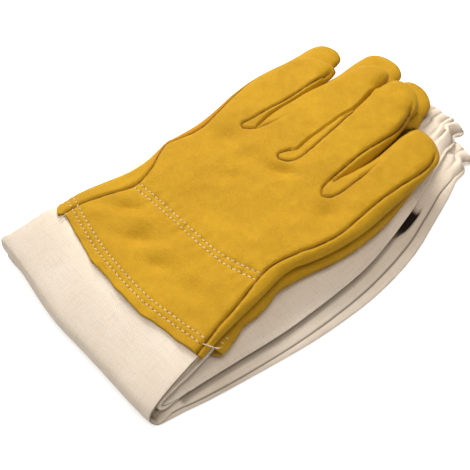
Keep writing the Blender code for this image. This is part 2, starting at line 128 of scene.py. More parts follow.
# Seams seen on the back of the hand
NEAR_SEAM = (
    (71.2, -111.2), (68.8, -100), (66.3, -90), (64.7, -79), (62.6, -69.7), (59.4, -57.2), (58.2, -46.7),
    (59.2, -36.9), (61.6, -27.9), (65.0, -18.8), (67.2, -9.4), (68.4, 2), (68.0, 17.5), (67.6, 35),
    (67.8, 51.4), (68.8, 62), (69.2, 72.5), (68.2, 81.5), (66.2, 87.5), (63.4, 94),
)
LITTLE_SEAM = ((46.0, 70), (46.9, 61.7), (47.6, 50.9), (48, 36.5), (47.2, 22.3), (45.0, 15.4), (41.3, 12.9))
RING_SEAM_RIGHT = (
    (41.3, 12.9), (37.6, 17.4), (36.0, 24.6), (35.2, 39), (34.6, 55), (35.6, 74), (35.2, 89.5), (32.2, 102),
    (27.8, 113), (23.6, 119.5),
)
RING_SEAM_LEFT = (
    (3.4, 92), (4.8, 85), (6.3, 76.6), (8.0, 63), (9.6, 47), (10.8, 34.7), (10.6, 24), (8.0, 18.2),
    (2.8, 15.9),
)
MIDDLE_SEAM_RIGHT = ((2.8, 15.9), (-0.2, 18.2), (0.8, 23.5), (2.3, 28.5))
MIDDLE_SEAM_LEFT = ((-20.6, 56), (-20.8, 50.4), (-22, 38.1), (-25.4, 28), (-29, 21.6), (-32.2, 19.0))
INDEX_SEAM_RIGHT = (
    (-32.2, 19.0), (-35.2, 20.8), (-34.6, 29.4), (-33.2, 41.7), (-32.4, 62), (-32.3, 80), (-32.4, 91),
    (-33.2, 102),
)
FAR_SEAM = (
    (-62.2, 66), (-61.6, 54), (-60.2, 42), (-57.2, 28), (-52.6, 12), (-50.2, -2), (-51.6, -14),
    (-54.6, -25.6), (-51.2, -33.4), (-45.0, -44), (-41.0, -57.4), (-41.6, -65.7), (-46.4, -83.8),
    (-49.6, -99.5), (-50.3, -105.6),
)
# Each seam's finger and side, its line, and the stretch of the finger where it is lost in the leather
BACK_SEAMS = (
    (0, 0, NEAR_SEAM, (86, 97)), (0, 1, LITTLE_SEAM, (40, 66)), (1, 0, RING_SEAM_RIGHT, (110, 122)),
    (1, 1, RING_SEAM_LEFT, (78, 94)), (2, 0, MIDDLE_SEAM_RIGHT, (26, 31)), (2, 1, MIDDLE_SEAM_LEFT, (26, 52)),
    (3, 0, INDEX_SEAM_RIGHT, (98, 106)), (3, 1, FAR_SEAM, (48, 66)),
)
# Seams on the palm follow the gaps between the fingers, a little way in
GAP_REACH = 46
PALM_SEAM_IN = 3.0
PALM_SEAM_CLEAR = 2.7
PALM_SEAM_LOST = (60, 75)

# Relief of the hand: depths and heights, widths from a line, and where along the hand it lies
HOLLOW_DEEP = 4.3
HOLLOW_ACROSS = (15, -30)
HOLLOW_FROM = (-90, -55)
HOLLOW_TO = (52, 88)
TIPS_THIN = 1.8
TIPS_FROM = (70, 135)
FINGERS_FROM = (22, 50)
FINGER_CROWN = 0.9
FINGER_SINK = 0.3
RING_CROWN = 1.3
RING_SPOT = (19, 78, 15, 60)
GAP_SINK = 0.6
GAP_WIDE = 4.5
GAP_FADE = (48, 80)
SEAM_DEEP = 1.1
SEAM_WIDE = 0.75
SEAM_LIP = 0.45
SEAM_LIP_WIDE = (4.0, 1.6)
SEAM_SHADE_WIDE = 0.8
PALM_SEAM_DEEP = 0.8
# Swelling: height, shortest and longest wave, and how many
WRINKLES = ((0.45, 26, 60, 9), (0.16, 8, 18, 12))
PALM_CREASES = (0.45, 16, 48, 10)
ROW_DEEP = {"wrist": 0.5, "hems": 0.38}
ROW_WIDE = 0.9
WRIST_Y = -61.5
WAIST_DEEP = 0.9
WAIST_LONG = 12
PUCKER_HIGH = 0.32
PUCKER_LONG = 8
PUCKER_PITCH = 7.4
PUCKER_WANDER = (1.5, 9)
LIP_WIDE = 5.0
LIP_DROP = 0.9
LIP_CURL = (0.35, 23)
LIP_FRILL = (0.2, 1.9)
WRINKLE_REACH = 1.1
# Hollows and swellings of the back: height, place, size across and along, turn
BACK_DENTS = (
    (-4.2, 11, 10, 11, 4.8, 25), (-3.2, 53, 8, 6.5, 8, 20), (-2.4, -31, 6, 8, 8, 25),
    (-1.8, -12, 4, 8, 5, 10), (1.8, 21, 27, 8, 12, 0), (1.5, 58, 24, 6, 14, 0), (1.4, -16, 22, 8, 14, 0),
    (1.1, -46, 22, 8, 14, 0), (-3.2, -30, -76, 10, 4.2, 38), (-3.0, -6, -86.5, 11, 4.2, 30),
    (-2.2, 13, -92, 9, 4.2, 25), (1.8, -14, -76, 12, 6, 30), (1.6, 9, -80, 12, 6, 25),
    (1.4, -36, -90, 9, 5, 30), (-1.8, 10, -41, 20, 9, 15), (1.3, -28, -30, 14, 14, 0),
    (1.2, 42, -34, 12, 12, 0), (-1.6, 33, -16, 12, 6, 35), (-1.5, -6, -16, 14, 5, 30),
    (-1.3, 40, -88, 9, 5, 20), (1.0, 47, -78, 9, 9, 0),
)

# The stretch of the far strip painted darker and more orange, for its own leather and for the shade on it:
# where it starts and ends along, and where across
STRIP_FROM = (-60, -20)
STRIP_TO = (10, 40)
STRIP_ACROSS = (-40, -50)

# Stitching
WRIST_ROWS = (
    (
        (-38.6, -58.9), (-22.1, -58.7), (-11.9, -59.1), (14.0, -59.6), (25.1, -59.9), (34.1, -59.4),
        (43.3, -57.5), (51.2, -55.4), (58.4, -52.8),
    ),
    (
        (-40.4, -63.3), (-30.1, -62.7), (-7.2, -62.8), (15.8, -63.2), (27.3, -63.3), (36.5, -63.2),
        (45.5, -61.5), (52.6, -59.7), (60.0, -57.6),
    ),
)
HEM_ROW_UP = (5.3, 9.1)
HEM_ROW_START = -60.5
HEM_ROW_END = {"right": 70.8, "left": 72.4}
STITCH_PITCH = 3.25
STITCH_LENGTH = 2.3
STITCH_WIDE = 0.68
STITCH_LIFT = 0.12
STITCH_DIVE = 0.575
STITCH_CUTS = (0.32, -0.32, 0)
STITCH_UNEVEN = 0.08
STITCH_SKEW = (0.10, 0.06)
STITCH_TAPER = 0.45
STITCH_FLAT = 0.8
HOLE_DEEP = 0.75
HOLE_RADIUS = 0.1
HOLE_RING = 0.5
HOLE_SHADE = 0.62
THREAD_TAILS = {
    "near_thread_tail": (
        (66.5, -106.0, 36.2), (69.8, -105.2, 35.6), (72.2, -103.2, 35.0), (75.0, -101.4, 33.4),
        (76.0, -98.6, 33.0),
    ),
    "far_thread_tail": (
        (-49.2, -104.6, 36.9), (-49.0, -106.8, 36.5), (-48.4, -108.9, 36.2), (-48.6, -111.0, 35.9),
    ),
}
TAIL_RADIUS = 0.32
TAIL_RINGS = 14
TAIL_SIDES = 6
TAIL_END = 0.6

# Spacing of the leather's points: rows beside seams and edges, and the plain leather between
SEAM_OFFSETS = (0, 0.5, -0.5, 1.2, -1.2, 2.2, -2.2)
EDGE_OFFSETS = (0.35, 0.95, 1.8, 3.0, 4.4)
EDGE_CLEAR = 0.25
PLAIN_GAP = 1.75
PLAIN_APART = 0.95
PLAIN_ROW = 0.866
HOLE_APART = 0.05
SEAM_APART = (0.33, 0.5)
EDGE_APART = (0.35, 0.12)
EDGE_SLACK = 0.08

# The lining turned into the cuff: how deep its rows lie, and how they draw in
LINING_DEPTHS = (0.0, 9.0, 24.0)
LINING_NARROWS = 0.0045
LINING_SINKS = 0.1
CUFF_MIDDLE = 5
CUFF_GAP_LEAST = 0.2
LINING_SHARE = 0.3

# The thumb stall: its edge, its half height, and the groove of its seam
THUMB_EDGE = (
    (-31.4, -28), (-31.0, -10), (-31.2, 10), (-31.6, 26), (-32.4, 38), (-36.2, 46.6), (-43, 49.4),
    (-49.8, 46.4), (-54.0, 38), (-55.2, 22), (-56.4, 4), (-57.2, -14), (-57.0, -30), (-53.2, -39.4),
    (-44, -43), (-35.2, -39.4), (-31.4, -28),
)
THUMB_OFFSETS = (0.4, 1.0, 1.8, 2.5, 3.2, 4.4)
THUMB_GAP = 1.7
THUMB_PLAIN_IN = 5.2
THUMB_MID = 2.05
THUMB_HALF = 1.75
THUMB_ROLL = 8.0
THUMB_SEAM_IN = 2.5
THUMB_SEAM_WIDE = 0.7
THUMB_SEAM_DEEP = (0.5, 0.3)
THUMB_WRINKLES = (14, 40, 8)
THUMB_WRINKLE_HIGH = (0.22, 0.15)
THUMB_SPACING = 1.2

# Sleeves. "run" has the near and far edges along the lower run. "path" has the outer face of the folded
# part from there to the cuff, as place along, height, thickness, near edge and far edge. "blend" has the
# place where the sleeve starts to follow the hand, its tilt and its depth
SLEEVES = {
    "right": {
        "run": (
            (-126, 77.8, -74.0), (-112, 81.5, -75.0), (-88, 86.5, -76.5), (-52, 93.2, -78.5),
            (-25, 96.4, -79), (0, 97.6, -79), (25, 96.2, -77.5), (48, 92.6, -74.5), (68, 87.2, -70.5),
            (84, 82.6, -66), (99, 78.0, -61), (112, 73.2, -54.5),
        ),
        "path": (
            (-126, 0.3, 6.3, 77.8, -74.0), (-136, 0.5, 5.4, 75.6, -73.8), (-142.0, 2.2, 3.0, 74.4, -74.4),
            (-145.4, 7.6, 2.4, 74.0, -75.0), (-146.4, 13.0, 2.2, 73.8, -75.2),
            (-144.8, 17.8, 2.3, 73.6, -74.6), (-141.4, 21.0, 2.8, 73.4, -73.2),
            (-136, 24.4, 3.8, 73.2, -70.0), (-129, 28.2, 5.4, 73.2, -66.4), (-121, 31.8, 7.0, 73.2, -63.8),
            (-113, 34.2, 7.8, 72.8, -62.4), (-106, 34.6, 7.4, 71.2, -61.2), (-99, 33.4, 6.0, 67.4, -59.3),
        ),
        "low": 0.3, "thick": 6.3, "rim": 138.0, "blend": ((-131.0, 7.0), (0.04, 13.0)), "seed": 11,
        "draw": 7.7, "seam_in": 4.2, "seam_run": 1.0, "seam_fold": 0.0, "fold_in": 0.4, "boxy": 26.0,
        "parted": -5.4, "edge_up": 2.0, "sag": 0.0, "corner": 3.5, "slant": 28.0, "seam_dark": 0.85,
    },
    "left": {
        "run": (
            (-120, 73.4, -69.2), (-112, 74.2, -70), (-88, 77.4, -72), (-64, 80.8, -74), (-43, 82.6, -75.5),
            (-7, 83.6, -76.5), (16, 82.4, -76.5), (42, 78.0, -75), (63, 74.0, -72.5), (82, 68.4, -69),
            (100, 62.4, -64.5), (122, 56.0, -54.5),
        ),
        "path": (
            (-120, 7.4, 6.4, 73.4, -69.2), (-130, 7.5, 6.0, 72.8, -68.2), (-136.0, 9.0, 5.4, 72.6, -67.6),
            (-139.0, 12.4, 5.0, 72.6, -67.0), (-139.2, 15.8, 4.8, 72.6, -66.4),
            (-137.2, 18.6, 4.8, 72.6, -65.6), (-133.0, 20.5, 5.0, 72.6, -64.6),
            (-126.5, 22.4, 6.0, 72.5, -63.2), (-117, 24.0, 7.2, 72.0, -61.4),
            (-108, 24.6, 7.4, 71.2, -59.4), (-100, 24.6, 7.2, 69.8, -57.2), (-92, 24.4, 7.0, 68.0, -56.0),
            (-84, 24.0, 6.6, 66.0, -54.5),
        ),
        "low": 7.4, "thick": 6.4, "rim": 147.0, "blend": ((-131.0, 14.2), (0.02, 1.6)), "seed": 21,
        "draw": 3.0, "seam_in": 0.0, "seam_run": 0.0, "seam_fold": 0.7, "fold_in": 1.3, "boxy": 26.0,
        "parted": 2.6, "edge_up": 2.4, "sag": 0.8, "corner": 2.5, "slant": 38.0, "seam_dark": 0.62,
    },
}
# Round and along the opened cloth, in metres
PATH_STEP = 1.1
RUN_STEP = 2.0
SLEEVE_HALF = 128
SEAM_COLUMN = SLEEVE_HALF + 8
SEAM_INSET = 2.0
SEAM_SINK = 0.55
SEAM_SINK_WIDE = 0.9
SEAM_PROFILE = (0.5, 1.0, 0.5)
SEAM_IN_GATHER = 0.85
SEAM_INSET_FROM = (16, 30)
SEAM_INSET_TO = (90, 118)
SOFT_EDGE = 5.0
OUTER_EDGE = 18
FREE_EDGE = 6
TUCK_NARROWS = 1.2
TUCK_THINS = 2.0
DRAW_ACROSS = (0, -72)
SAG_ACROSS = (0.8, 1.0)
FOLD_EDGE_UP = 0.8
CUFF_EDGE_UP = 1.2
CRISP_FROM = (0.05, 0.25)
CUFF_FROM = (0.75, 1.0)
# Swelling of the cloth: height, seed, shortest and longest wave, and how many
FOLD_SWELL = (0.3, 8, 40, 90, 6)
RUN_SWELLS = ((0.34, 2, 34, 80, 8), (0.13, 5, 10, 24, 9))
# The gathered mouth: its length, its pleats, the neck drawn in by the elastic, the turned hem and the slant
GATHER = 34.0
PLEATS = 27
PLEAT_DEEP = 2.5
RIM_SHALLOW = 0.4
RIM_DEEPENS = (0, 8)
CORNER_HIGH = 2.6
CORNER_ACROSS = (16, 4)
CORNER_EDGE = 10
CORNER_BACK = 1.6
SIDE_WOBBLE = 0.9
LIP_ROUND = 5.0
LIP_LEAST = 0.35
RIM_UNEVEN = 0.5
RIM_UNEVEN_FROM = 16
NECK_BACK = 9.5
NECK_LONG = 4.0
NECK_IN = 3.0
NECK_THIN = 2.0
NECK_SMOOTH = 0.25
PUFF_HIGH = 2.4
PUFF_END = 6
HEM_TURN = 15
HEM_TURN_ROWS = 10
MOUTH = 25
MOUTH_ROWS = 30
MOUTH_CLOSER = 1.5
RIM_GAP = 0.7
SLANTED = 95.0
SLANT_ACROSS = (20, -36)
TAPE = 0.8
TAPE_BACK = (13, 5)
TAPE_TUCKS = (0.4, 0.6)
TAPE_ROWS = (0.12, 0.5, 0.88)
# Slot and crease between the sleeves, where shade is painted: distances out from the left one's near edge, and
# places along it
PARTED_OUT = (4.6, 1.0)
PARTED_IN = (-20.0, -12.0)
PARTED_FROM = (38.0, 60.0)
PARTED_TO = (70.0, 77.0)
CREASE_OUT = (2.5, 0.5)
CREASE_PAINTED_SHADE = 0.8
SLOT_ALONG = (32.0, 66.0)
SLOT_WIDE = 3.3
SLOT_SOFT = 0.6
SLOT_END = (69.0, 73.5)
# The band of painted shade along the near edge of the fold
BAND_IN = 4.2
BAND_WIDE = 2.2


# Lines and points

def run_along(line):
    """The distance run at each point of a line."""
    return np.concatenate([[0.0], np.cumsum(np.hypot(*np.diff(line, axis=0).T))])


def read_at(line, run, places):
    return np.column_stack([np.interp(places, run, line[:, 0]), np.interp(places, run, line[:, 1])])


def even(line, spacing):
    """The same line with its points at an even spacing."""
    run = run_along(line)
    count = max(2, int(round(run[-1] / spacing)) + 1)
    return read_at(line, run, np.linspace(0, run[-1], count))


def through(points, spacing=1.0):
    """A smooth line through the points."""
    p = np.array(points, float)
    last = len(p) - 1
    t = np.linspace(0, 1, 24, endpoint=False)[:, None]
    pieces = []
    for n in range(last):
        a, b, c, d = p[max(n - 1, 0)], p[n], p[n + 1], p[min(n + 2, last)]
        curve = 2 * b + (c - a) * t + (2 * a - 5 * b + 4 * c - d) * t ** 2 + (3 * b - a - 3 * c + d) * t ** 3
        pieces.append(0.5 * curve)
    return even(np.vstack(pieces + [p[-1:]]), spacing)


def normals(line):
    """Steps of length 1 to the left of a line, at each of its points."""
    way = np.gradient(line, axis=0)
    return np.column_stack([-way[:, 1], way[:, 0]]) / np.maximum(np.hypot(*way.T), 1e-9)[:, None]


def ease(value, start, end):
    """From 0 at the start to 1 at the end, smoothly."""
    t = np.clip((value - start) / (end - start), 0, 1)
    return t * t * (3 - 2 * t)


def bell(distance, width):
    """From 1 at no distance smoothly to 0."""
    return np.exp(-(distance / width) ** 2)


def to_line(points, line, batch=1500):
    """How far each point is from a line."""
    a = line[:-1]
    ab = line[1:] - a
    length = np.maximum((ab ** 2).sum(1), 1e-12)
    best = np.empty(len(points))
    for n in range(0, len(points), batch):
        p = points[n:n + batch, None, :] - a
        t = np.clip((p * ab).sum(2) / length, 0, 1)
        best[n:n + batch] = np.sqrt(((p - t[..., None] * ab) ** 2).sum(2).min(1))
    return best


def to_places(points, places):
    """How far each point is from the nearest of some places."""
    tree = KDTree(len(places))
    for n, (x, y) in enumerate(places):
        tree.insert((x, y, 0), n)
    tree.balance()
    return np.array([tree.find((x, y, 0))[2] for x, y in points])


def inside(points, ring):
    """Which points lie inside a closed ring."""
    x, y = points[:, 0], points[:, 1]
    found = np.zeros(len(points), bool)
    for (ax, ay), (bx, by) in zip(ring, np.roll(ring, -1, axis=0)):
        crossing = (ay > y) != (by > y)
        if ay != by:
            found ^= crossing & (x < (bx - ax) * (y - ay) / (by - ay) + ax)
    return found


def waves(points, seed, shortest, longest, count):
    """Soft irregular swelling between about -1 and 1."""
    rng = np.random.default_rng(seed)
    total = np.zeros(len(points))
    for _ in range(count):
        length = shortest * (longest / shortest) ** rng.random()
        angle = rng.random() * 2 * math.pi
        across = points[:, 0] * math.cos(angle) + points[:, 1] * math.sin(angle)
        total += np.sin(2 * math.pi * across / length + rng.random() * 2 * math.pi)
    return total / math.sqrt(count)


def dent(points, x, y, wide, along, turn=0.0):
    """A soft spot of height 1 at a place."""
    c, s = math.cos(math.radians(turn)), math.sin(math.radians(turn))
    dx, dy = points[:, 0] - x, points[:, 1] - y
    return np.exp(-((dx * c + dy * s) / wide) ** 2 - ((dy * c - dx * s) / along) ** 2)


def seated(glove, points):
    """Points of a hand's own plan and heights, where the glove lies, in metres."""
    turned = Matrix.Rotation(math.radians(glove["turn"]), 4, "Z") @ Matrix.Translation((0, -HEM_Y * MM, 0))
    place = Matrix.Translation((0, (HEM_Y + glove["along"]) * MM, 0)) @ turned
    return [place @ Vector((x * MM, y * MM, (MID_Z + glove["up"] * z) * MM)) for x, y, z in points]


def new_object(name, verts, faces):
    mesh = bpy.data.meshes.new(name)
    mesh.from_pydata(verts, [], [[int(i) for i in face] for face in faces])
    mesh.update()
    mesh.shade_smooth()
    made = bpy.data.objects.new(name, mesh)
    bpy.context.scene.collection.objects.link(made)
    return made


def point_value(made, name, *values):
    """A number on each point, given for one stretch of the points after another."""
    layer = made.data.attributes.new(name, "FLOAT", "POINT")
    layer.data.foreach_set("value", np.concatenate(values).astype(np.float32))


# The plan of a hand

def finger_line(glove, finger, side, points):
    """One side of a finger (0 its right, 1 its left), moved by its share of the glove's own spread."""
    p = np.array(points, float)
    across, along = glove["spread"][finger][side]
    share = ease(p[:, 1], *SPREAD_ALONG)
    return through(np.column_stack([p[:, 0] + across * share, p[:, 1] + along * share]))


def tip(right, left, reach, lean):
    """The rounded end of a finger from its right side to its left."""
    angles = np.linspace(0, math.pi, 41)[1:-1]
    middle, half = (right + left) / 2, (right[0] - left[0]) / 2
    c, s = np.cos(angles), np.sin(angles)
    x = np.sign(c) * np.abs(c) ** TIP_SQUARE * half
    base_y = left[1] + (right[1] - left[1]) * (1 + c) / 2
    line = np.column_stack([middle[0] + x + lean * s ** 2, base_y + s ** TIP_SQUARE * reach])
    return even(np.vstack([right, line, left]), 1.0)


def crotch(right, left):
    """The bottom of the gap between two fingers."""
    angles = np.linspace(0, math.pi, 15)
    middle, half = (right + left) / 2, (right - left) / 2
    y = middle[1] + half[1] * np.cos(angles) - CROTCH_DEPTH * np.sin(angles)
    return np.column_stack([middle[0] + half[0] * np.cos(angles), y])


def hand_edge(side):
    """The edge of one hand as lines, each with the width of its roll and where that grows."""
    glove = GLOVES[side]
    sides = [
        (through(NEAR_SIDES[side]), finger_line(glove, 0, 1, LITTLE_LEFT)),
        (finger_line(glove, 1, 0, RING_RIGHT), finger_line(glove, 1, 1, RING_LEFT)),
        (finger_line(glove, 2, 0, MIDDLE_RIGHT), finger_line(glove, 2, 1, MIDDLE_LEFT)),
        (finger_line(glove, 3, 0, INDEX_RIGHT), finger_line(glove, 3, 1, FAR_SIDE[::-1])),
    ]
    edge = []
    for n, (right, left) in enumerate(sides):
        edge.append((right,) + ROLLS[n][0])
        edge.append((tip(right[-1], left[-1], *TIPS[side][n]),) + TIP_ROLL)
        edge.append((left[::-1],) + ROLLS[n][1])
        if n < 3:
            edge.append((crotch(left[0], sides[n + 1][0][0]),) + CROTCH_ROLL)
    return edge


def hem_lines(side):
    """The cut edge of the cuff, and the line that its stitching follows."""
    hem = through(HEM_EDGE)
    stitched = through(HEM_SEWN)
    if side == "left":
        for line in (hem, stitched):
            line[:, 1] -= LEFT_HEM_DROP * ease(line[:, 0], *LEFT_HEM_ALONG)
        hem[-1] = NEAR_SIDES["left"][0]
    rng = np.random.default_rng(GLOVES[side]["seed"])
    from_end = np.minimum(hem[:, 0] - hem[0, 0], hem[-1, 0] - hem[:, 0])
    fade = np.minimum(1, from_end / HEM_WAVES_FADE)
    for length, size in HEM_WAVES:
        hem[:, 1] += size * fade * np.sin(2 * math.pi * hem[:, 0] / length + 6.3 * rng.random())
    return hem, stitched


def finger_gaps(edge):
    """The lines down one finger, round the bottom of the gap and up the next."""
    gaps = []
    for n in range(0, 12, 4):
        down, bottom, up = (edge[n + k][0] for k in (2, 3, 4))
        gaps.append(even(np.vstack([down[-GAP_REACH:], bottom, up[:GAP_REACH]]), 1.0))
    return gaps


def hand_plan(side):
    """All lines of one hand: its edge, its hem, the seams of both faces and the rows of stitches."""
    glove = GLOVES[side]
    edge = hand_edge(side)
    hem, stitched = hem_lines(side)
    ring = np.vstack([hem[:-1]] + [part[0][:-1] for part in edge])
    gaps = finger_gaps(edge)
    palm_seams = []
    for line in gaps:
        moved = line + normals(line) * PALM_SEAM_IN
        moved = moved[to_line(moved, np.vstack([ring, ring[:1]])) > PALM_SEAM_CLEAR]
        palm_seams.append((even(moved, 1.0), PALM_SEAM_LOST))
    hems = []
    for up in HEM_ROW_UP:
        line = stitched + np.array([0, up])
        hems.append(even(line[(line[:, 0] > HEM_ROW_START) & (line[:, 0] < HEM_ROW_END[side])], 1.0))
    return {
        "edge": edge, "hem": hem, "ring": ring, "gaps": gaps, "palm_seams": palm_seams, "hems": hems,
        "back_seams": [(finger_line(glove, n, way, line), lost) for n, way, line, lost in BACK_SEAMS],
        "wrist": [through(row) for row in WRIST_ROWS], "seed": glove["seed"],
    }


# The relief of a hand

def levels(points):
    """Palm and back heights of the flattened hand, with the hollow for the folded thumb."""
    x, y = points[:, 0], points[:, 1]
    hollow = ease(x, *HOLLOW_ACROSS) * ease(y, *HOLLOW_FROM) * (1 - ease(y, *HOLLOW_TO))
    return HAND_LOW + HOLLOW_DEEP * hollow, HAND_HIGH - TIPS_THIN * ease(y, *TIPS_FROM)


def rolled(plan, points, grow=1.0):
    """How full the hand is at a point: 0 at its edge, 1 in its middle."""
    full = np.ones(len(points))
    for line, roll, growing in plan["edge"]:
        grown = 1.0 if growing is None else ease(points[:, 1], *growing)
        wide = roll * grow * (ROLL_LEAST + (1 - ROLL_LEAST) * grown)
        near = np.clip(to_line(points, line) / wide, 0, 1)
        closed = ROLL_CLOSED * (1 - grown)
        full = np.minimum(full, closed + (1 - closed) * np.sqrt(np.maximum(1 - (1 - near) ** 2, 0)))
    return full


def sewn(points, seams, width):
    """1 on a seam, falling smoothly to 0 at some distance from it and where the seam is lost."""
    most = np.zeros(len(points))
    for line, lost in seams:
        most = np.maximum(most, bell(to_line(points, line), width) * (1 - ease(points[:, 1], *lost)))
    return most


def back_height(plan, points):
    """Heights of the back, above the middle of the stack."""
    palm, back = levels(points)
    middle = (palm + back) / 2
    full = rolled(plan, points)
    soft = np.minimum(1, full * WRINKLE_REACH) ** 2
    x, y = points[:, 0], points[:, 1]
    fingers = ease(y, *FINGERS_FROM)
    z = middle + (back - middle) * full
    z += fingers * (FINGER_CROWN * full ** 2 - FINGER_SINK + RING_CROWN * dent(points, *RING_SPOT))
    to_gap = np.min([to_line(points, line) for line in plan["gaps"]], axis=0)
    z -= GAP_SINK * bell(to_gap, GAP_WIDE) * (1 - ease(y, *GAP_FADE))
    broad, narrow = (sewn(points, plan["back_seams"], wide) for wide in SEAM_LIP_WIDE)
    z += SEAM_LIP * (broad - narrow) - SEAM_DEEP * sewn(points, plan["back_seams"], SEAM_WIDE)
    for n, (height, *lengths) in enumerate(WRINKLES):
        z += soft * height * waves(points, plan["seed"] + n, *lengths)
    for height, *spot in BACK_DENTS:
        z += soft * height * dent(points, *spot)
    for kind, depth in ROW_DEEP.items():
        for row in plan[kind]:
            z -= depth * bell(to_line(points, row), ROW_WIDE)
    from_wrist = y - WRIST_Y
    wander, wander_long = PUCKER_WANDER
    pucker = np.sin(2 * math.pi * x / PUCKER_PITCH + wander * np.sin(x / wander_long))
    z += soft * PUCKER_HIGH * bell(from_wrist, PUCKER_LONG) * pucker
    z -= soft * WAIST_DEEP * bell(from_wrist, WAIST_LONG)
    curl_high, curl_long = LIP_CURL
    frill_high, frill_long = LIP_FRILL
    curl = curl_high * np.sin(2 * math.pi * x / curl_long + plan["seed"])
    curl += frill_high * np.sin(x / frill_long)
    z += bell(to_line(points, plan["hem"]), LIP_WIDE) * (curl - LIP_DROP)
    return z


def palm_height(plan, points):
    """Heights of the palm, above the middle of the stack."""
    palm, back = levels(points)
    middle = (palm + back) / 2
    full = rolled(plan, points, PALM_ROLL)
    z = middle - (middle - palm) * full
    z += PALM_SEAM_DEEP * sewn(points, plan["palm_seams"], SEAM_WIDE)
    height, *lengths = PALM_CREASES
    z += height * np.maximum(0, waves(points, plan["seed"] + 4, *lengths)) * full ** 2
    for row in plan["hems"]:
        z += ROW_DEEP["hems"] * bell(to_line(points, row), ROW_WIDE)
    z += LIP_DROP * bell(to_line(points, plan["hem"]), LIP_WIDE)
    return z


# The skin of a hand

def stitch_places(line):
    """Middles of the stitches on a row, and the needle holes between them."""
    run = run_along(line)
    holes = np.arange(int(run[-1] / STITCH_PITCH) + 1) * STITCH_PITCH
    return read_at(line, run, holes[:-1] + STITCH_PITCH / 2), read_at(line, run, holes)


def plan_points(plan, holes):
    """Points over the plan, close along edges, seams and needle holes and wider in the plain leather."""
    ring = plan["ring"]
    closed = np.vstack([ring, ring[:1]])
    taken = ring.tolist()

    def add(points, apart):
        points = points[inside(points, ring)]
        points = points[to_line(points, closed) > min(EDGE_CLEAR, apart * 0.5)]
        taken.extend(points[to_places(points, taken) > apart].tolist())

    angles = np.arange(6) * math.pi / 3
    around = HOLE_RING * np.column_stack([np.cos(angles), np.sin(angles)])
    add(np.vstack([holes] + [holes + step_out for step_out in around]), HOLE_APART)
    lines = [line for line, _ in plan["back_seams"] + plan["palm_seams"]]
    for apart in SEAM_OFFSETS:
        beside_seams = np.vstack([line + normals(line) * apart for line in lines])
        add(beside_seams, SEAM_APART[0 if abs(apart) < 1 else 1])
    for apart in EDGE_OFFSETS:
        moved = ring + normals(closed)[:-1] * apart
        add(moved[to_line(moved, closed) > apart - EDGE_SLACK], EDGE_APART[0] + EDGE_APART[1] * apart)
    low, high = ring.min(0), ring.max(0)
    rows = []
    for n, y in enumerate(np.arange(low[1], high[1], PLAIN_GAP * PLAIN_ROW)):
        xs = np.arange(low[0] + (PLAIN_GAP / 2 if n % 2 else 0), high[0], PLAIN_GAP)
        rows.append(np.column_stack([xs, np.full(len(xs), y)]))
    add(np.vstack(rows), PLAIN_APART)
    return np.array(taken)


def fill(points, count):
    """Triangles over points, the first of which are, in order, the closed edge."""
    edge = [(n, (n + 1) % count) for n in range(count)]
    flat, _, tris, _, _, _ = delaunay_2d_cdt([Vector(p) for p in points], edge, [], 1, 1e-7)
    flat = np.array([tuple(p) for p in flat])
    tris = np.array([t for t in tris if len(t) == 3])
    a, b, c = (flat[tris[:, k]] for k in range(3))
    turn = (b[:, 0] - a[:, 0]) * (c[:, 1] - a[:, 1]) - (b[:, 1] - a[:, 1]) * (c[:, 0] - a[:, 0])
    tris[turn < 0] = tris[turn < 0][:, ::-1]
    return flat, tris


def two_faced(flat, tris, top, low, on_edge):
    """A skin of two faces that share their edge, the places of the lower points, and the free points."""
    free = np.where(~on_edge)[0]
    lower = np.arange(len(flat))
    lower[free] = len(flat) + np.arange(len(free))
    verts = np.vstack([np.column_stack([flat, top]), np.column_stack([flat[free], low[free]])])
    return verts, tris.tolist() + lower[tris][:, ::-1].tolist(), lower, free


def hem_lining(verts, rim_top, rim_low):
    """The cut edge of the cuff, as thick as the leather, and a lining turned in: new points and faces."""
    count = len(rim_top)
    gap = np.maximum(verts[rim_top, 2] - verts[rim_low, 2], CUFF_GAP_LEAST)
    thick = np.minimum(LEATHER, gap * LINING_SHARE)
    top, low, added = [rim_top], [rim_low], []
    for depth in LINING_DEPTHS:
        for rows, sign in ((top, -1), (low, 1)):
            row = verts[rows[0]].copy()
            row[:, 0] -= (row[:, 0] - CUFF_MIDDLE) * LINING_NARROWS * depth
            row[:, 1] += depth
            row[:, 2] += sign * (thick + LINING_SINKS * depth)
            rows.append(len(verts) + len(added) * count + np.arange(count))
            added.append(row)
    faces = []
    for n in range(count - 1):
        for k in range(len(LINING_DEPTHS)):
            faces.append((top[k][n], top[k + 1][n], top[k + 1][n + 1], top[k][n + 1]))
            faces.append((low[k][n + 1], low[k + 1][n + 1], low[k + 1][n], low[k][n]))
        faces.append((top[-1][n], low[-1][n], low[-1][n + 1], top[-1][n + 1]))
    return np.vstack(added), faces


def facing(glove, faces):
    """The faces as they are on a glove that lies back up, turned over on one that lies palm up."""
    return faces if glove["up"] > 0 else [face[::-1] for face in faces]


def hand_values(made, plan, flat, free, hole_gap, lined):
    """What the leather's finish reads: seams, needle holes with painted shade, the far strip painted darker
    and warmer for its own leather and its shade, and the raw inner side.
    """
    palm, lining = np.zeros(len(free)), np.zeros(lined)
    back_seams = sewn(flat, plan["back_seams"], SEAM_SHADE_WIDE)
    point_value(made, "seam", back_seams, sewn(flat[free], plan["palm_seams"], SEAM_SHADE_WIDE), lining)
    point_value(made, "needle_hole_shade", np.clip(1 - hole_gap / HOLE_SHADE, 0, 1), palm, lining)
    x, y = flat[:, 0], flat[:, 1]
    strip = ~inside(flat, np.vstack([through(NEAR_SEAM), through(FAR_SEAM)]))
    strip = strip * ease(y, *STRIP_FROM) * (1 - ease(y, *STRIP_TO)) * ease(x, *STRIP_ACROSS)
    point_value(made, "strip_tone_and_shade", strip, palm, lining)
    point_value(made, "flesh", np.zeros(len(flat)), palm, lining + 1)


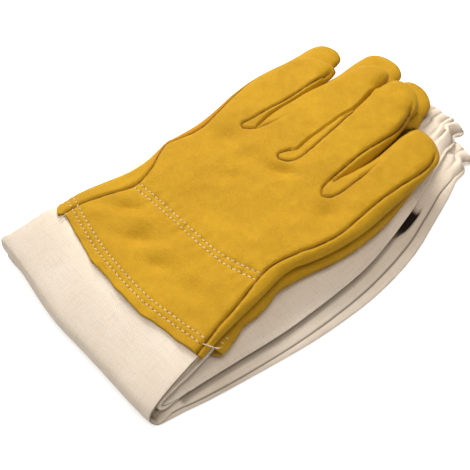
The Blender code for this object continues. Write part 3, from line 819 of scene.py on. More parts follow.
def make_hand(side):
    """The sewn leather hand: back, palm and side strips as one skin with its seams, open at the hem."""
    glove = GLOVES[side]
    plan = hand_plan(side)
    ring = plan["ring"]
    holes = np.vstack([stitch_places(line)[1] for line in plan["wrist"] + plan["hems"]])
    flat, tris = fill(plan_points(plan, holes), len(ring))
    on_edge = to_line(flat, np.vstack([ring[len(plan["hem"]) - 1:], ring[:1]])) < ON_LINE
    top = back_height(plan, flat)
    top[on_edge] = (sum(levels(flat)) / 2)[on_edge]
    hole_gap = to_places(flat, holes)
    top -= HOLE_DEEP * (hole_gap < HOLE_RADIUS)
    verts, faces, lower, free = two_faced(flat, tris, top, palm_height(plan, flat), on_edge)
    rim = np.where(to_line(flat, plan["hem"]) < ON_LINE)[0]
    rim = rim[np.argsort(flat[rim, 0])]
    lining, lining_faces = hem_lining(verts, rim, lower[rim])
    skin = seated(glove, np.vstack([verts, lining]))
    made = new_object(side + "_leather_hand", skin, facing(glove, faces + lining_faces))
    hand_values(made, plan, flat, free, hole_gap, len(lining))
    return made, plan


def make_thumb(side):
    """The empty thumb stall, folded flat on the palm, with a seam along its edge."""
    glove = GLOVES[side]
    ring = through(THUMB_EDGE, THUMB_SPACING)[:-1]
    closed = np.vstack([ring, ring[:1]])
    chosen = [ring]
    for apart in THUMB_OFFSETS:
        chosen.append((ring + normals(closed)[:-1] * apart)[::1 if apart < 3 else 2])
    xs, ys = (np.arange(ring[:, k].min(), ring[:, k].max(), THUMB_GAP) for k in (0, 1))
    grid = np.array([(x, y) for y in ys for x in xs])
    chosen.append(grid[inside(grid, ring) & (to_line(grid, closed) > THUMB_PLAIN_IN)])
    flat, tris = fill(np.vstack(chosen), len(ring))
    gap = to_line(flat, closed)
    on_edge = gap < ON_LINE
    full = np.sqrt(1 - (1 - np.clip(gap / THUMB_ROLL, 0, 1)) ** 2)
    groove = bell(gap - THUMB_SEAM_IN, THUMB_SEAM_WIDE)
    fold = waves(flat, glove["seed"] + 30, *THUMB_WRINKLES)
    top = THUMB_MID + THUMB_HALF * full - THUMB_SEAM_DEEP[0] * groove + THUMB_WRINKLE_HIGH[0] * fold * full
    low = THUMB_MID - THUMB_HALF * full + THUMB_SEAM_DEEP[1] * groove - THUMB_WRINKLE_HIGH[1] * fold * full
    top[on_edge] = THUMB_MID
    verts, faces, _, free = two_faced(flat, tris, top, low, on_edge)
    made = new_object(side + "_leather_thumb", seated(glove, verts), facing(glove, faces))
    seam = np.clip(1 - np.abs(gap - THUMB_SEAM_IN), 0, 1)
    point_value(made, "seam", seam, seam[free])
    return made


# Thread and tape

def stitch_shape():
    """One stitch, 1 long, modelled once: a straight thread with rings to bow it at."""
    bpy.ops.object.select_all(action="DESELECT")
    bpy.ops.mesh.primitive_cylinder_add(vertices=6, radius=0.5, depth=1.0, end_fill_type="TRIFAN")
    made = bpy.context.object
    bpy.ops.object.mode_set(mode="EDIT")
    for height in STITCH_CUTS:
        bpy.ops.mesh.select_all(action="SELECT")
        bpy.ops.mesh.bisect(plane_co=(0, 0, height), plane_no=(0, 0, 1))
    bpy.ops.object.mode_set(mode="OBJECT")
    verts = np.array([v.co[:] for v in made.data.vertices])
    faces = [tuple(p.vertices) for p in made.data.polygons]
    bpy.data.objects.remove(made, do_unlink=True)
    return verts, faces


STITCH = stitch_shape()
FACES = {"back": (back_height, 1), "palm": (palm_height, -1)}


def sew(name, rows, glove, plan):
    """Stitches laid on the leather, bowed and diving at both ends: rows are a line and back or palm."""
    shape, shape_faces = STITCH
    verts, faces = [], []
    rng = np.random.default_rng(glove["seed"] + len(name))
    for line, face in rows:
        middles, _ = stitch_places(line)
        way = np.gradient(middles, axis=0)
        way /= np.hypot(*way.T)[:, None]
        height, sign = FACES[face]
        ends = (-0.5, 0, 0.5)
        surface = np.array([height(plan, middles + way * s * STITCH_LENGTH) for s in ends])
        for n, middle in enumerate(middles):
            long = STITCH_LENGTH * (1 + STITCH_UNEVEN * rng.standard_normal())
            skew = STITCH_SKEW[0] + STITCH_SKEW[1] * rng.standard_normal()
            side = np.array([-way[n, 1], way[n, 0]])
            base = len(verts)
            for x, y, s in shape:
                end = (2 * abs(s)) ** 3
                wide = STITCH_WIDE * (1 - STITCH_TAPER * end)
                spot = middle + way[n] * s * long + side * (x * wide + skew * s * 2)
                lift = STITCH_LIFT + y * wide * STITCH_FLAT - STITCH_DIVE * end
                verts.append((*spot, np.interp(s, ends, surface[:, n]) + sign * lift))
            faces += [tuple(base + i for i in f) for f in shape_faces]
    made = new_object(name, seated(glove, verts), faces)
    form = bmesh.new()
    form.from_mesh(made.data)
    bmesh.ops.recalc_face_normals(form, faces=form.faces[:])
    form.to_mesh(made.data)
    form.free()
    return made


def tube_faces(rows, count, closed_ends=False):
    """Faces between rings of points; with closed ends the last ring joins the first."""
    faces = []
    for n in range(rows if closed_ends else rows - 1):
        below = (n + 1) % rows
        for k in range(count):
            m = (k + 1) % count
            faces.append((n * count + k, below * count + k, below * count + m, n * count + m))
    return faces


def thread_tail(name, points):
    """A loose end of thread as a short bent tube."""
    path = np.array(points, float)
    t = np.linspace(0, len(path) - 1, TAIL_RINGS)
    line = np.column_stack([np.interp(t, np.arange(len(path)), axis) for axis in path.T])
    for _ in range(3):
        line[1:-1] = (line[:-2] + 2 * line[1:-1] + line[2:]) / 4
    last = TAIL_RINGS - 1
    verts = []
    for n, p in enumerate(line):
        way = Vector(line[min(n + 1, last)] - line[max(n - 1, 0)]).normalized()
        one = way.orthogonal().normalized()
        two = way.cross(one)
        size = TAIL_RADIUS * (1 if n < last - 1 else TAIL_END)
        for k in range(TAIL_SIDES):
            turn = k * 2 * math.pi / TAIL_SIDES
            verts.append(tuple((Vector(p) + (one * math.cos(turn) + two * math.sin(turn)) * size) * MM))
    faces = [(a, d, c, b) for a, b, c, d in tube_faces(TAIL_RINGS, TAIL_SIDES)]
    faces.append(tuple(range(TAIL_SIDES - 1, -1, -1)))
    faces.append(tuple(last * TAIL_SIDES + k for k in range(TAIL_SIDES)))
    return new_object(name, verts, faces)


def make_wrist_elastic(side, plan, count=90):
    """The tape sewn under the leather between the two wrist rows."""
    glove = GLOVES[side]
    a, b = (read_at(line, np.linspace(0, 1, len(line)), np.linspace(0, 1, count)) for line in plan["wrist"])
    rows = [a + (b - a) * share for share in TAPE_ROWS]
    upper = [np.column_stack([row, back_height(plan, row) - LEATHER]) for row in rows]
    rings = upper + [row - (0, 0, TAPE) for row in upper[::-1]]
    total = len(rings)
    faces = []
    for n in range(total):
        m = (n + 1) % total
        for k in range(count - 1):
            faces.append((n * count + k, n * count + k + 1, m * count + k + 1, m * count + k))
    faces.append(tuple(n * count for n in range(total)))
    faces.append(tuple(n * count + count - 1 for n in range(total - 1, -1, -1)))
    return new_object(side + "_wrist_tape", seated(glove, np.vstack(rings)), facing(glove, faces))


def make_arm_elastic(side, stations):
    """The ring of tape between the sleeve and its turned hem, gathered with them."""
    sleeve = SLEEVES[side]
    columns = sleeve_columns(sleeve)
    back, front = (sleeve["rim"] - away for away in TAPE_BACK)
    held = [s for s in stations if s["tuck"] == 0 and back < s["y"] < front]
    outer, inner = TAPE_TUCKS
    rings = [sleeve_section(sleeve, columns, s, outer) for s in held]
    rings += [sleeve_section(sleeve, columns, s, inner) for s in held[::-1]]
    faces = tube_faces(len(rings), 2 * SLEEVE_HALF, closed_ends=True)
    return new_object(side + "_arm_tape", (np.vstack(rings) * MM).tolist(), faces)


# The canvas sleeves

def edges_at(run, places):
    """Near and far edges of a sleeve at some places along it, smoothly."""
    edges = []
    for k in (1, 2):
        line = through([(knot[0], knot[k]) for knot in run], 0.5)
        edges.append(np.interp(places, line[:, 0], line[:, 1]))
    return edges


def run_station(sleeve, y, tuck):
    """One place along the lower run, or along the gathered mouth at its end."""
    rim = sleeve["rim"]
    fold_y, mouth_y = sleeve["run"][0][0], sleeve["run"][-1][0]
    near, far = (edge[0] for edge in edges_at(sleeve["run"], np.array([min(y, mouth_y)])))
    neck = bell(y - (rim - NECK_BACK), NECK_LONG)
    puff = ease(y, rim - GATHER, rim - PUFF_END)
    inward = sleeve["corner"] * ease(y, mouth_y, rim) + NECK_IN * neck
    inset_from, inset_full = SEAM_INSET_FROM
    inset = ease(y, fold_y + inset_from, inset_full) * (1 - ease(y, *SEAM_INSET_TO))
    return {
        "at": (y, sleeve["low"]), "in": (0, 1), "near": near - inward, "far": far + inward, "y": y,
        "where": "run", "tuck": tuck, "edge_up": sleeve["edge_up"], "boxy": SOFT_EDGE, "crisp": 0.0,
        "thick": sleeve["thick"] + PUFF_HIGH * puff - NECK_THIN * neck,
        "gather": puff * (1 - NECK_SMOOTH * neck),
        "seam_in": SEAM_INSET + sleeve["seam_in"] * inset,
    }


def fold_stations(sleeve):
    """Places round the fold and into the leather cuff."""
    knots = np.array(sleeve["path"], float)
    line = through(knots[:, :2], PATH_STEP)
    passed = [np.argmin(np.hypot(*(line - knot[:2]).T)) for knot in knots]
    thicks, nears, fars = (np.interp(np.arange(len(line)), passed, knots[:, k]) for k in (2, 3, 4))
    ins = -normals(line)
    edge_up = sleeve["edge_up"]
    stations = []
    for n, (y, z) in enumerate(line):
        share = n / (len(line) - 1)
        crisp = ease(share, *CRISP_FROM)
        stations.append({
            "at": (y, z), "in": ins[n], "near": nears[n], "far": fars[n], "y": knots[0, 0] - n * PATH_STEP,
            "where": "fold", "thick": thicks[n], "gather": 0.0, "tuck": 0.0, "crisp": crisp,
            "edge_up": edge_up + (FOLD_EDGE_UP - edge_up) * crisp + CUFF_EDGE_UP * ease(share, *CUFF_FROM),
            "boxy": SOFT_EDGE + (sleeve["boxy"] - SOFT_EDGE) * crisp,
            "seam_in": SEAM_INSET + (sleeve["fold_in"] - SEAM_INSET) * crisp,
        })
    return stations


def sleeve_stations(sleeve):
    """Places along the sleeve: its turned hem, the mouth, the lower run, round the fold and into the cuff."""
    rim, fold_y = sleeve["rim"], sleeve["run"][0][0]
    start = rim - MOUTH - 1
    turned = np.linspace(rim - HEM_TURN, rim - RIM_GAP, HEM_TURN_ROWS)
    hem_turn = [run_station(sleeve, y, 1.0) for y in turned]
    back = np.linspace(0, 1, MOUTH_ROWS) ** MOUTH_CLOSER * MOUTH
    mouth = [run_station(sleeve, y, 0.0) for y in rim - back]
    places = np.linspace(start, fold_y, int((start - fold_y) / RUN_STEP))[:-1]
    return hem_turn + mouth + [run_station(sleeve, y, 0.0) for y in places] + fold_stations(sleeve)


def sleeve_columns(sleeve):
    """Places round the tube: across it from -1 (far) to 1 (near) outside, and back on the inner face."""
    spaced = np.linspace(-1, 1, SLEEVE_HALF + 1)
    across = 0.5 * np.sin(spaced * math.pi / 2) + 0.5 * spaced
    rng = np.random.default_rng(sleeve["seed"])
    turn = 2 * math.pi * np.arange(2 * SLEEVE_HALF) / (2 * SLEEVE_HALF)
    uneven = 1 + 0.6 * np.sin(5 * turn + 1) + 0.4 * np.sin(13 * turn + rng.random() * 6)
    phase = np.cumsum(np.maximum(uneven, 0.3))
    return {
        "across": np.concatenate([across[:-1], across[::-1][:-1]]),
        "inner": np.concatenate([np.zeros(SLEEVE_HALF), np.ones(SLEEVE_HALF)]),
        "phase": phase / phase[-1] * PLEATS * 2 * math.pi,
        "deep": 0.72 + 0.42 * np.sin(7 * turn + sleeve["seed"]),
        "bend": 1.3 * np.sin(4 * turn + sleeve["seed"]) + 0.7 * np.sin(9 * turn),
    }


def pleats(sleeve, columns, y):
    """The gathers at a place along the sleeve: round folds between sharp, wandering creases."""
    far_in = (sleeve["rim"] - y) / GATHER
    phase = columns["phase"] + columns["bend"] * (far_in - 0.3)
    folds = 2 * np.abs(np.cos(phase / 2)) ** 0.8 - 1.2
    return folds + 0.5 * np.sin(phase * 0.7 + 11 * far_in) * bell(far_in - 0.35, 0.3)


def beside(points):
    """How far out from the near edge of the left sleeve each point lies."""
    return points[:, 0] - edges_at(SLEEVES["left"]["run"], points[:, 1])[0]


def parted(points):
    """1 where the two sleeves stand apart, in a short stretch beside the near edge of the left one."""
    out, y = beside(points), points[:, 1]
    across = ease(out, *PARTED_OUT) * ease(out, *PARTED_IN)
    return across * ease(y, *PARTED_FROM) * (1 - ease(y, *PARTED_TO))


def crease_shade_mask(points):
    """1 in the crease where the left sleeve's near edge lies on the right sleeve, up to the slot: where shade
    is painted.
    """
    out = beside(points)
    return ease(out, *CREASE_OUT) * ease(out, *PARTED_IN) * (1 - ease(points[:, 1], *PARTED_FROM))


def slot_painted_shadow(points):
    """How much painted shadow lies in the slot between the sleeves: thin and half dark at one end, wide and
    dark at the other.
    """
    out, y = beside(points), points[:, 1]
    grown = np.clip((y - SLOT_ALONG[0]) / (SLOT_ALONG[1] - SLOT_ALONG[0]), 0, 1)
    wide = SLOT_WIDE * grown
    across = ease(out, wide + SLOT_SOFT, wide - SLOT_SOFT) * ease(out, *PARTED_IN)
    dark = 0.5 + 0.5 * ease(grown, 0.1, 0.8)
    return across * ease(grown, 0, 0.1) * dark * (1 - ease(y, *SLOT_END))


def seam_spaced(columns, seam_to):
    """Places across the tube, moved on the inner face so that its seam lies in from the near edge."""
    across = columns["across"]
    from_near = 1 - across
    seam_at = from_near[SEAM_COLUMN]
    beyond = seam_to + (from_near - seam_at) * (2 - seam_to) / (2 - seam_at)
    moved = np.where(from_near <= seam_at, from_near * seam_to / seam_at, beyond)
    return np.where(columns["inner"] > 0, 1 - moved, across)


def swell(sleeve, spot, form):
    height, seed, *lengths = form
    return height * waves(spot, sleeve["seed"] + seed, *lengths)


def sleeve_section(sleeve, columns, s, tuck):
    """The points of the tube at one station; tuck moves them in, for the turned hem and its tape."""
    inner = columns["inner"]
    wide = (s["near"] - s["far"]) / 2 - TUCK_NARROWS * tuck
    across = seam_spaced(columns, s["seam_in"] / wide)
    c = np.minimum(np.abs(across), 1)
    x = (s["near"] + s["far"]) / 2 + wide * across
    thick = s["thick"] - TUCK_THINS * tuck
    outer_face = s["edge_up"] * (1 - np.sqrt(1 - c ** OUTER_EDGE))
    inner_face = s["edge_up"] + (thick - s["edge_up"]) * np.sqrt(1 - c ** s["boxy"])
    b = np.where(inner > 0, inner_face, outer_face)
    free = np.sqrt(1 - c ** FREE_EDGE)
    spot = np.column_stack([x, np.full(len(x), s["y"])])
    if s["where"] == "fold":
        b += swell(sleeve, spot, FOLD_SWELL) * free
        shift = sleeve["draw"] * ease(x, *DRAW_ACROSS) * max(s["in"][0], 0)
    else:
        loose = sum(swell(sleeve, spot, each) for each in RUN_SWELLS)
        b += inner * (loose * free - SEAM_SINK * bell(s["near"] - x - s["seam_in"], SEAM_SINK_WIDE))
        b -= sleeve["sag"] * ease(across, *SAG_ACROSS)
        b += sleeve["parted"] * parted(spot) * (inner if sleeve["parted"] < 0 else 1)
        slanted = ease(s["y"], sleeve["rim"] - SLANTED, sleeve["rim"])
        shift = -sleeve["slant"] * slanted * ease(x, *SLANT_ACROSS)
    if s["gather"] > 0:
        x, b, shift = gathered(sleeve, columns, s, (x, b, shift), across, thick)
    b += tuck
    return np.column_stack([x, s["at"][0] + s["in"][0] * b + shift, s["at"][1] + s["in"][1] * b])


def gathered(sleeve, columns, s, form, across, thick):
    """A station's places across, heights and shifts, with the pleats, round lip and uneven rim."""
    x, b, shift = form
    g, c = s["gather"], np.minimum(np.abs(across), 1)
    from_rim = sleeve["rim"] - s["y"]
    shallow = RIM_SHALLOW + (1 - RIM_SHALLOW) * ease(from_rim, *RIM_DEEPENS)
    fold = PLEAT_DEEP * g * pleats(sleeve, columns, s["y"]) * columns["deep"] * shallow
    corner_from, corner_to = (s["near"] - away for away in CORNER_ACROSS)
    corner = CORNER_HIGH * g * ease(x, corner_from, corner_to) * np.sqrt(1 - c ** CORNER_EDGE)
    b = np.where(columns["inner"] > 0, b + fold + corner, np.maximum(b + 0.5 * fold + 0.5 * g, 0.05))
    x = x + np.sign(across) * c ** FREE_EDGE * SIDE_WOBBLE * g * np.sin(columns["phase"] * 0.5)
    lip = math.sqrt(max(0.0, 1 - max(0.0, 1 - from_rim / LIP_ROUND) ** 2))
    b = thick / 2 + (b - thick / 2) * (LIP_LEAST + (1 - LIP_LEAST) * lip)
    past = ease(s["y"], sleeve["rim"] - RIM_UNEVEN_FROM, sleeve["rim"])
    uneven = RIM_UNEVEN * np.sin(columns["phase"] * 0.5 + 1)
    shift = shift + past * (uneven - sleeve["corner"] * CORNER_BACK * c ** FREE_EDGE)
    return x, b, shift


def lay_cloth(made, grid):
    """Lays the cloth's own flat measure on the sleeve, in metres round it and along it."""
    rows, count = grid.shape[:2]
    middle = grid[rows // 2]
    round_it = np.concatenate([[0], np.cumsum(np.linalg.norm(np.roll(middle, -1, axis=0) - middle, axis=1))])
    steps = np.median(np.linalg.norm(np.diff(grid, axis=0), axis=2), axis=1)
    along = np.concatenate([[0], np.cumsum(steps)])
    row, column = np.divmod(np.arange((rows - 1) * count), count)
    u = round_it[column[:, None] + (0, 0, 1, 1)]
    v = along[row[:, None] + (0, 1, 1, 0)]
    layer = made.data.uv_layers.new(name="cloth")
    layer.data.foreach_set("uv", (np.stack([u, v], axis=2) * MM).astype(np.float32).reshape(-1))


def sleeve_seam(sleeve, stations):
    """1 along the side seam, less on the run and in the gathers."""
    seam = np.zeros((len(stations), 2 * SLEEVE_HALF))
    for n, s in enumerate(stations):
        share = sleeve["seam_run"] + (sleeve["seam_fold"] - sleeve["seam_run"]) * s["crisp"]
        at = SLEEVE_HALF + int(round((SEAM_COLUMN - SLEEVE_HALF) * share))
        dark = sleeve["seam_dark"] + (1 - sleeve["seam_dark"]) * s["crisp"]
        seam[n, at - 1:at + 2] = np.array(SEAM_PROFILE) * (1 - SEAM_IN_GATHER * s["gather"]) * dark
    return seam


def sleeve_painted_shades(sleeve, columns, stations, grid):
    """Painted shade between the folds: up to 1 in gathers, creases and the fold's edge, and up to 2 for the
    painted shadow in the slot.
    """
    shade = np.zeros(grid.shape[:2])
    inner = columns["inner"]
    for n, s in enumerate(stations):
        shade[n] = s["gather"] * np.clip(-pleats(sleeve, columns, s["y"]), 0, 1)
        if s["where"] == "fold":
            shade[n] += s["crisp"] * inner * bell(np.abs(s["near"] - grid[n, :, 0]) - BAND_IN, BAND_WIDE)
        elif sleeve["parted"] < 0:
            shade[n] += CREASE_PAINTED_SHADE * crease_shade_mask(grid[n]) * inner
    shade = np.minimum(shade, 1)
    if sleeve["parted"] < 0:
        # The slot's painted shadow, up to 2 for near black
        shade = np.maximum(shade, 2 * slot_painted_shadow(grid.reshape(-1, 3)).reshape(shade.shape) * inner)
    return shade


def make_sleeve(side):
    """The canvas sleeve: one sewn tube with a turned hem, gathered at its mouth."""
    sleeve = SLEEVES[side]
    columns = sleeve_columns(sleeve)
    stations = sleeve_stations(sleeve)
    grid = np.array([sleeve_section(sleeve, columns, s, s["tuck"]) for s in stations])
    skin = (grid.reshape(-1, 3) * MM).tolist()
    made = new_object(side + "_canvas_sleeve", skin, tube_faces(*grid.shape[:2]))
    lay_cloth(made, grid)
    point_value(made, "seam", *sleeve_seam(sleeve, stations))
    # Painted shade: the gathers' creases, the crease between the sleeves, the fold's near edge and the slot
    point_value(made, "painted_shade", *sleeve_painted_shades(sleeve, columns, stations, grid))
    return made, stations


# Finishes: their colours, then what they are made of
YELLOW = ((0.545, 0.300, 0.0135, 1), (0.440, 0.226, 0.0092, 1))
THUMB_YELLOW = ((0.58, 0.29, 0.015, 1), (0.49, 0.22, 0.011, 1))
SPECK = (0.8, 0.76, 0.7)
STAIN = (0.72, 0.62, 0.6)
# Far strip: its own darker leather, with painted shade and warm bounce light
FAR_STRIP_TONE_AND_SHADE = (0.52, 0.22, 0.010, 1)
FLESH_SIDE = (0.50, 0.30, 0.06, 1)
SEAM_SHADOW = (0.30, 0.12, 0.008, 1)
SEAM_LINE = (0.11, 0.038, 0.004, 1)
# Near black: painted shade in and round the needle holes
NEEDLE_HOLE_SHADE = (0.05, 0.022, 0.005, 1)
CANVAS = ((0.93, 0.785, 0.62, 1), (0.97, 0.84, 0.685, 1))
BETWEEN_THREADS = (0.50, 0.37, 0.26, 1)
SLUB = (0.72, 0.57, 0.42, 1)
FLECK = (0.30, 0.20, 0.12, 1)
CANVAS_SEAM = (0.11, 0.066, 0.034, 1)
# Painted shade for the gathers' creases, the crease between the sleeves and the fold's near edge
FOLD_PAINTED_SHADE = (0.22, 0.15, 0.095, 1)
# Painted near-black shadow for the slot between the sleeves
SLOT_PAINTED_SHADOW = (0.02, 0.012, 0.008, 1)
CREAM = ((0.74, 0.66, 0.51, 1), (0.50, 0.41, 0.27, 1))
WHITE = ((0.82, 0.80, 0.76, 1), (0.66, 0.63, 0.58, 1))
THREADS_PER_M = 1350.0


def group(name, inputs, outputs):
    """An empty node group with named inputs and number outputs."""
    made = bpy.data.node_groups.new(name, "ShaderNodeTree")
    for title, kind, value in inputs:
        socket = made.interface.new_socket(title, in_out="INPUT", socket_type=kind)
        if value is not None:
            socket.default_value = value
    for title in outputs:
        made.interface.new_socket(title, in_out="OUTPUT", socket_type="NodeSocketFloat")
    return made, made.nodes.new("NodeGroupInput"), made.nodes.new("NodeGroupOutput")


def node(tree, kind, **values):
    made = tree.nodes.new(kind)
    for key, value in values.items():
        setattr(made, key, value)
    return made


def feed(tree, value, socket):
    """Sets a socket to a constant, or links it."""
    if isinstance(value, (int, float, tuple)):
        socket.default_value = value
    else:
        tree.links.new(value, socket)


def math_node(tree, operation, *values):
    made = node(tree, "ShaderNodeMath", operation=operation)
    for value, socket in zip(values, made.inputs):
        feed(tree, value, socket)
    return made.outputs[0]


def times(tree, a, b):
    return math_node(tree, "MULTIPLY", a, b)


def plus(tree, a, b):
    return math_node(tree, "ADD", a, b)


def mix_colour(tree, factor, a, b):
    made = node(tree, "ShaderNodeMix", data_type="RGBA")
    for value, at in ((factor, 0), (a, 6), (b, 7)):
        feed(tree, value, made.inputs[at])
    return made.outputs[2]


def noise(tree, vector, scale, detail=3.0, rough=0.5):
    made = node(tree, "ShaderNodeTexNoise")
    for title, value in (("Vector", vector), ("Scale", scale), ("Detail", detail), ("Roughness", rough)):
        feed(tree, value, made.inputs[title])
    return made.outputs["Fac"]


def stretched(tree, vector, scale, turn=0.0):
    made = node(tree, "ShaderNodeMapping")
    feed(tree, vector, made.inputs["Vector"])
    made.inputs["Scale"].default_value = scale
    made.inputs["Rotation"].default_value = (0, 0, turn)
    return made.outputs[0]


def step(tree, value, low, high):
    made = node(tree, "ShaderNodeMapRange", interpolation_type="SMOOTHSTEP")
    for at, each in enumerate((value, low, high)):
        feed(tree, each, made.inputs[at])
    return made.outputs[0]


def hide_group():
    """Mottling, stains and grain of soft tanned hide."""
    inputs = (("Vector", "NodeSocketVector", None),)
    tree, came, went = group("hide_grain", inputs, ("Mottle", "Stain", "Grain"))
    vector = came.outputs["Vector"]
    broad = noise(tree, vector, 26.0, 4.0, 0.6)
    fine = noise(tree, vector, 170.0, 5.0, 0.75)
    feed(tree, plus(tree, times(tree, broad, 0.5), times(tree, fine, 0.5)), went.inputs["Mottle"])
    feed(tree, step(tree, noise(tree, vector, 60.0, 5.0, 0.6), 0.56, 0.74), went.inputs["Stain"])
    cells = node(tree, "ShaderNodeTexVoronoi", feature="DISTANCE_TO_EDGE")
    feed(tree, vector, cells.inputs["Vector"])
    cells.inputs["Scale"].default_value = 850.0
    pits = times(tree, step(tree, cells.outputs["Distance"], 0.0, 0.28), 0.5)
    grain = plus(tree, pits, times(tree, noise(tree, vector, 420.0, 4.0, 0.6), 0.9))
    crease = noise(tree, stretched(tree, vector, (90.0, 260.0, 90.0), 0.35), 1.0, 3.0, 0.55)
    feed(tree, plus(tree, grain, times(tree, crease, 1.1)), went.inputs["Grain"])
    return tree


def weave_group():
    """Plain weave of round threads, with slubs and stray flecks."""
    inputs = (("Vector", "NodeSocketVector", None), ("Pitch", "NodeSocketFloat", 1500.0))
    tree, came, went = group("plain_weave", inputs, ("Height", "Slub", "Fleck"))
    vector = came.outputs["Vector"]
    scaled = node(tree, "ShaderNodeVectorMath", operation="SCALE")
    feed(tree, vector, scaled.inputs[0])
    feed(tree, came.outputs["Pitch"], scaled.inputs["Scale"])
    split = node(tree, "ShaderNodeSeparateXYZ")
    feed(tree, scaled.outputs[0], split.inputs[0])
    check = node(tree, "ShaderNodeTexChecker")
    feed(tree, scaled.outputs[0], check.inputs["Vector"])
    check.inputs["Scale"].default_value = 1.0
    over = node(tree, "ShaderNodeMix", data_type="FLOAT")
    feed(tree, check.outputs["Fac"], over.inputs[0])
    for axis in (0, 1):
        swing = math_node(tree, "SINE", times(tree, split.outputs[axis], math.pi))
        feed(tree, math_node(tree, "ABSOLUTE", swing), over.inputs[2 + axis])
    feed(tree, over.outputs[0], went.inputs["Height"])
    bars = [noise(tree, stretched(tree, vector, size), 1.0, 2.0, 0.6)
            for size in ((60.0, 900.0, 1.0), (900.0, 60.0, 1.0))]
    feed(tree, times(tree, plus(tree, *bars), 0.5), went.inputs["Slub"])
    feed(tree, step(tree, noise(tree, vector, 520.0, 2.0, 0.5), 0.70, 0.78), went.inputs["Fleck"])
    return tree


HIDE = hide_group()
WEAVE = weave_group()


def blank(name):
    made = bpy.data.materials.new(name)
    made.use_nodes = True
    return made, made.node_tree, made.node_tree.nodes["Principled BSDF"]


def attribute(tree, name):
    return node(tree, "ShaderNodeAttribute", attribute_name=name).outputs["Fac"]


def bump(tree, height, depth, strength):
    made = node(tree, "ShaderNodeBump")
    made.inputs["Strength"].default_value = strength
    made.inputs["Distance"].default_value = depth
    feed(tree, height, made.inputs["Height"])
    return made.outputs["Normal"]


def layered(tree, colour, layers):
    """A colour with others over it, each by its own factor."""
    for factor, over in layers:
        colour = mix_colour(tree, factor, colour, over)
    return colour


def toned(colour, by):
    return tuple(a * b for a, b in zip(colour, by)) + (1,)


def leather(name, pale, deep):
    """Yellow tanned hide with darker seams, painted shade beside them and in the needle holes, and a far strip
    painted darker and warmer.
    """
    made, tree, shader = blank(name)
    where = node(tree, "ShaderNodeTexCoord").outputs["Object"]
    hide = node(tree, "ShaderNodeGroup", node_tree=HIDE)
    feed(tree, where, hide.inputs["Vector"])
    mottle = hide.outputs["Mottle"]
    seam = attribute(tree, "seam")
    worn = plus(tree, times(tree, step(tree, noise(tree, where, 240.0, 2.0), 0.35, 0.6), 0.4), 0.5)
    colour = layered(tree, mix_colour(tree, step(tree, mottle, 0.28, 0.72), deep, pale), (
        (times(tree, step(tree, noise(tree, where, 900.0, 2.0, 0.7), 0.35, 0.65), 0.16), toned(deep, SPECK)),
        (times(tree, hide.outputs["Stain"], 0.14), toned(deep, STAIN)),
        (times(tree, attribute(tree, "strip_tone_and_shade"), 0.75), FAR_STRIP_TONE_AND_SHADE),
        # The far strip, painted darker and warmer for its own leather and for shade
        (times(tree, attribute(tree, "flesh"), 0.6), FLESH_SIDE),
        (times(tree, step(tree, seam, 0.0, 0.95), 0.35), SEAM_SHADOW),
        (times(tree, step(tree, seam, 0.55, 0.9), worn), SEAM_LINE),
        # Painted shade in and round the needle holes
        (times(tree, step(tree, attribute(tree, "needle_hole_shade"), 0.25, 0.7), 0.92), NEEDLE_HOLE_SHADE),
    ))
    feed(tree, colour, shader.inputs["Base Color"])
    feed(tree, plus(tree, times(tree, mottle, 0.2), 0.58), shader.inputs["Roughness"])
    feed(tree, bump(tree, hide.outputs["Grain"], 0.0004, 0.7), shader.inputs["Normal"])
    shader.inputs["Specular IOR Level"].default_value = 0.10
    return made


def canvas(name):
    """Unbleached cotton canvas with its weave along the sleeve, shade painted into its creases and a painted
    shadow in the slot.
    """
    made, tree, shader = blank(name)
    weave = node(tree, "ShaderNodeGroup", node_tree=WEAVE)
    feed(tree, node(tree, "ShaderNodeUVMap", uv_map="cloth").outputs["UV"], weave.inputs["Vector"])
    weave.inputs["Pitch"].default_value = THREADS_PER_M
    where = node(tree, "ShaderNodeTexCoord").outputs["Object"]
    height, slub = weave.outputs["Height"], weave.outputs["Slub"]
    painted_shade = attribute(tree, "painted_shade")
    cloud = step(tree, noise(tree, where, 32.0, 3.0, 0.6), 0.3, 0.7)
    colour = layered(tree, mix_colour(tree, cloud, *CANVAS), (
        (times(tree, step(tree, height, 0.7, 0.1), 0.5), BETWEEN_THREADS),
        (times(tree, step(tree, slub, 0.46, 0.64), 0.30), SLUB),
        (times(tree, weave.outputs["Fleck"], 0.55), FLECK),
        (times(tree, step(tree, attribute(tree, "seam"), 0.25, 0.95), 0.85), CANVAS_SEAM),
        # Painted shade in the creases and along the fold's near edge
        (times(tree, painted_shade, 0.85), FOLD_PAINTED_SHADE),
        # Painted near-black shadow in the slot between the sleeves
        (step(tree, painted_shade, 1.0, 1.9), SLOT_PAINTED_SHADOW),
    ))
    feed(tree, colour, shader.inputs["Base Color"])
    feed(tree, plus(tree, times(tree, height, -0.1), 0.95), shader.inputs["Roughness"])
    feed(tree, bump(tree, plus(tree, height, times(tree, slub, 0.8)), 0.0002, 0.85), shader.inputs["Normal"])
    shader.inputs["Specular IOR Level"].default_value = 0.15
    return made


def thread_finish(name, pale, dark):
    """Twisted cotton, also for the woven tapes."""
    made, tree, shader = blank(name)
    where = node(tree, "ShaderNodeTexCoord").outputs["Object"]
    twist = noise(tree, where, 1400.0, 2.0, 0.6)
    feed(tree, mix_colour(tree, step(tree, twist, 0.3, 0.7), dark, pale), shader.inputs["Base Color"])
    feed(tree, plus(tree, times(tree, twist, 0.25), 0.5), shader.inputs["Roughness"])
    feed(tree, bump(tree, twist, 0.0002, 0.6), shader.inputs["Normal"])
    return made


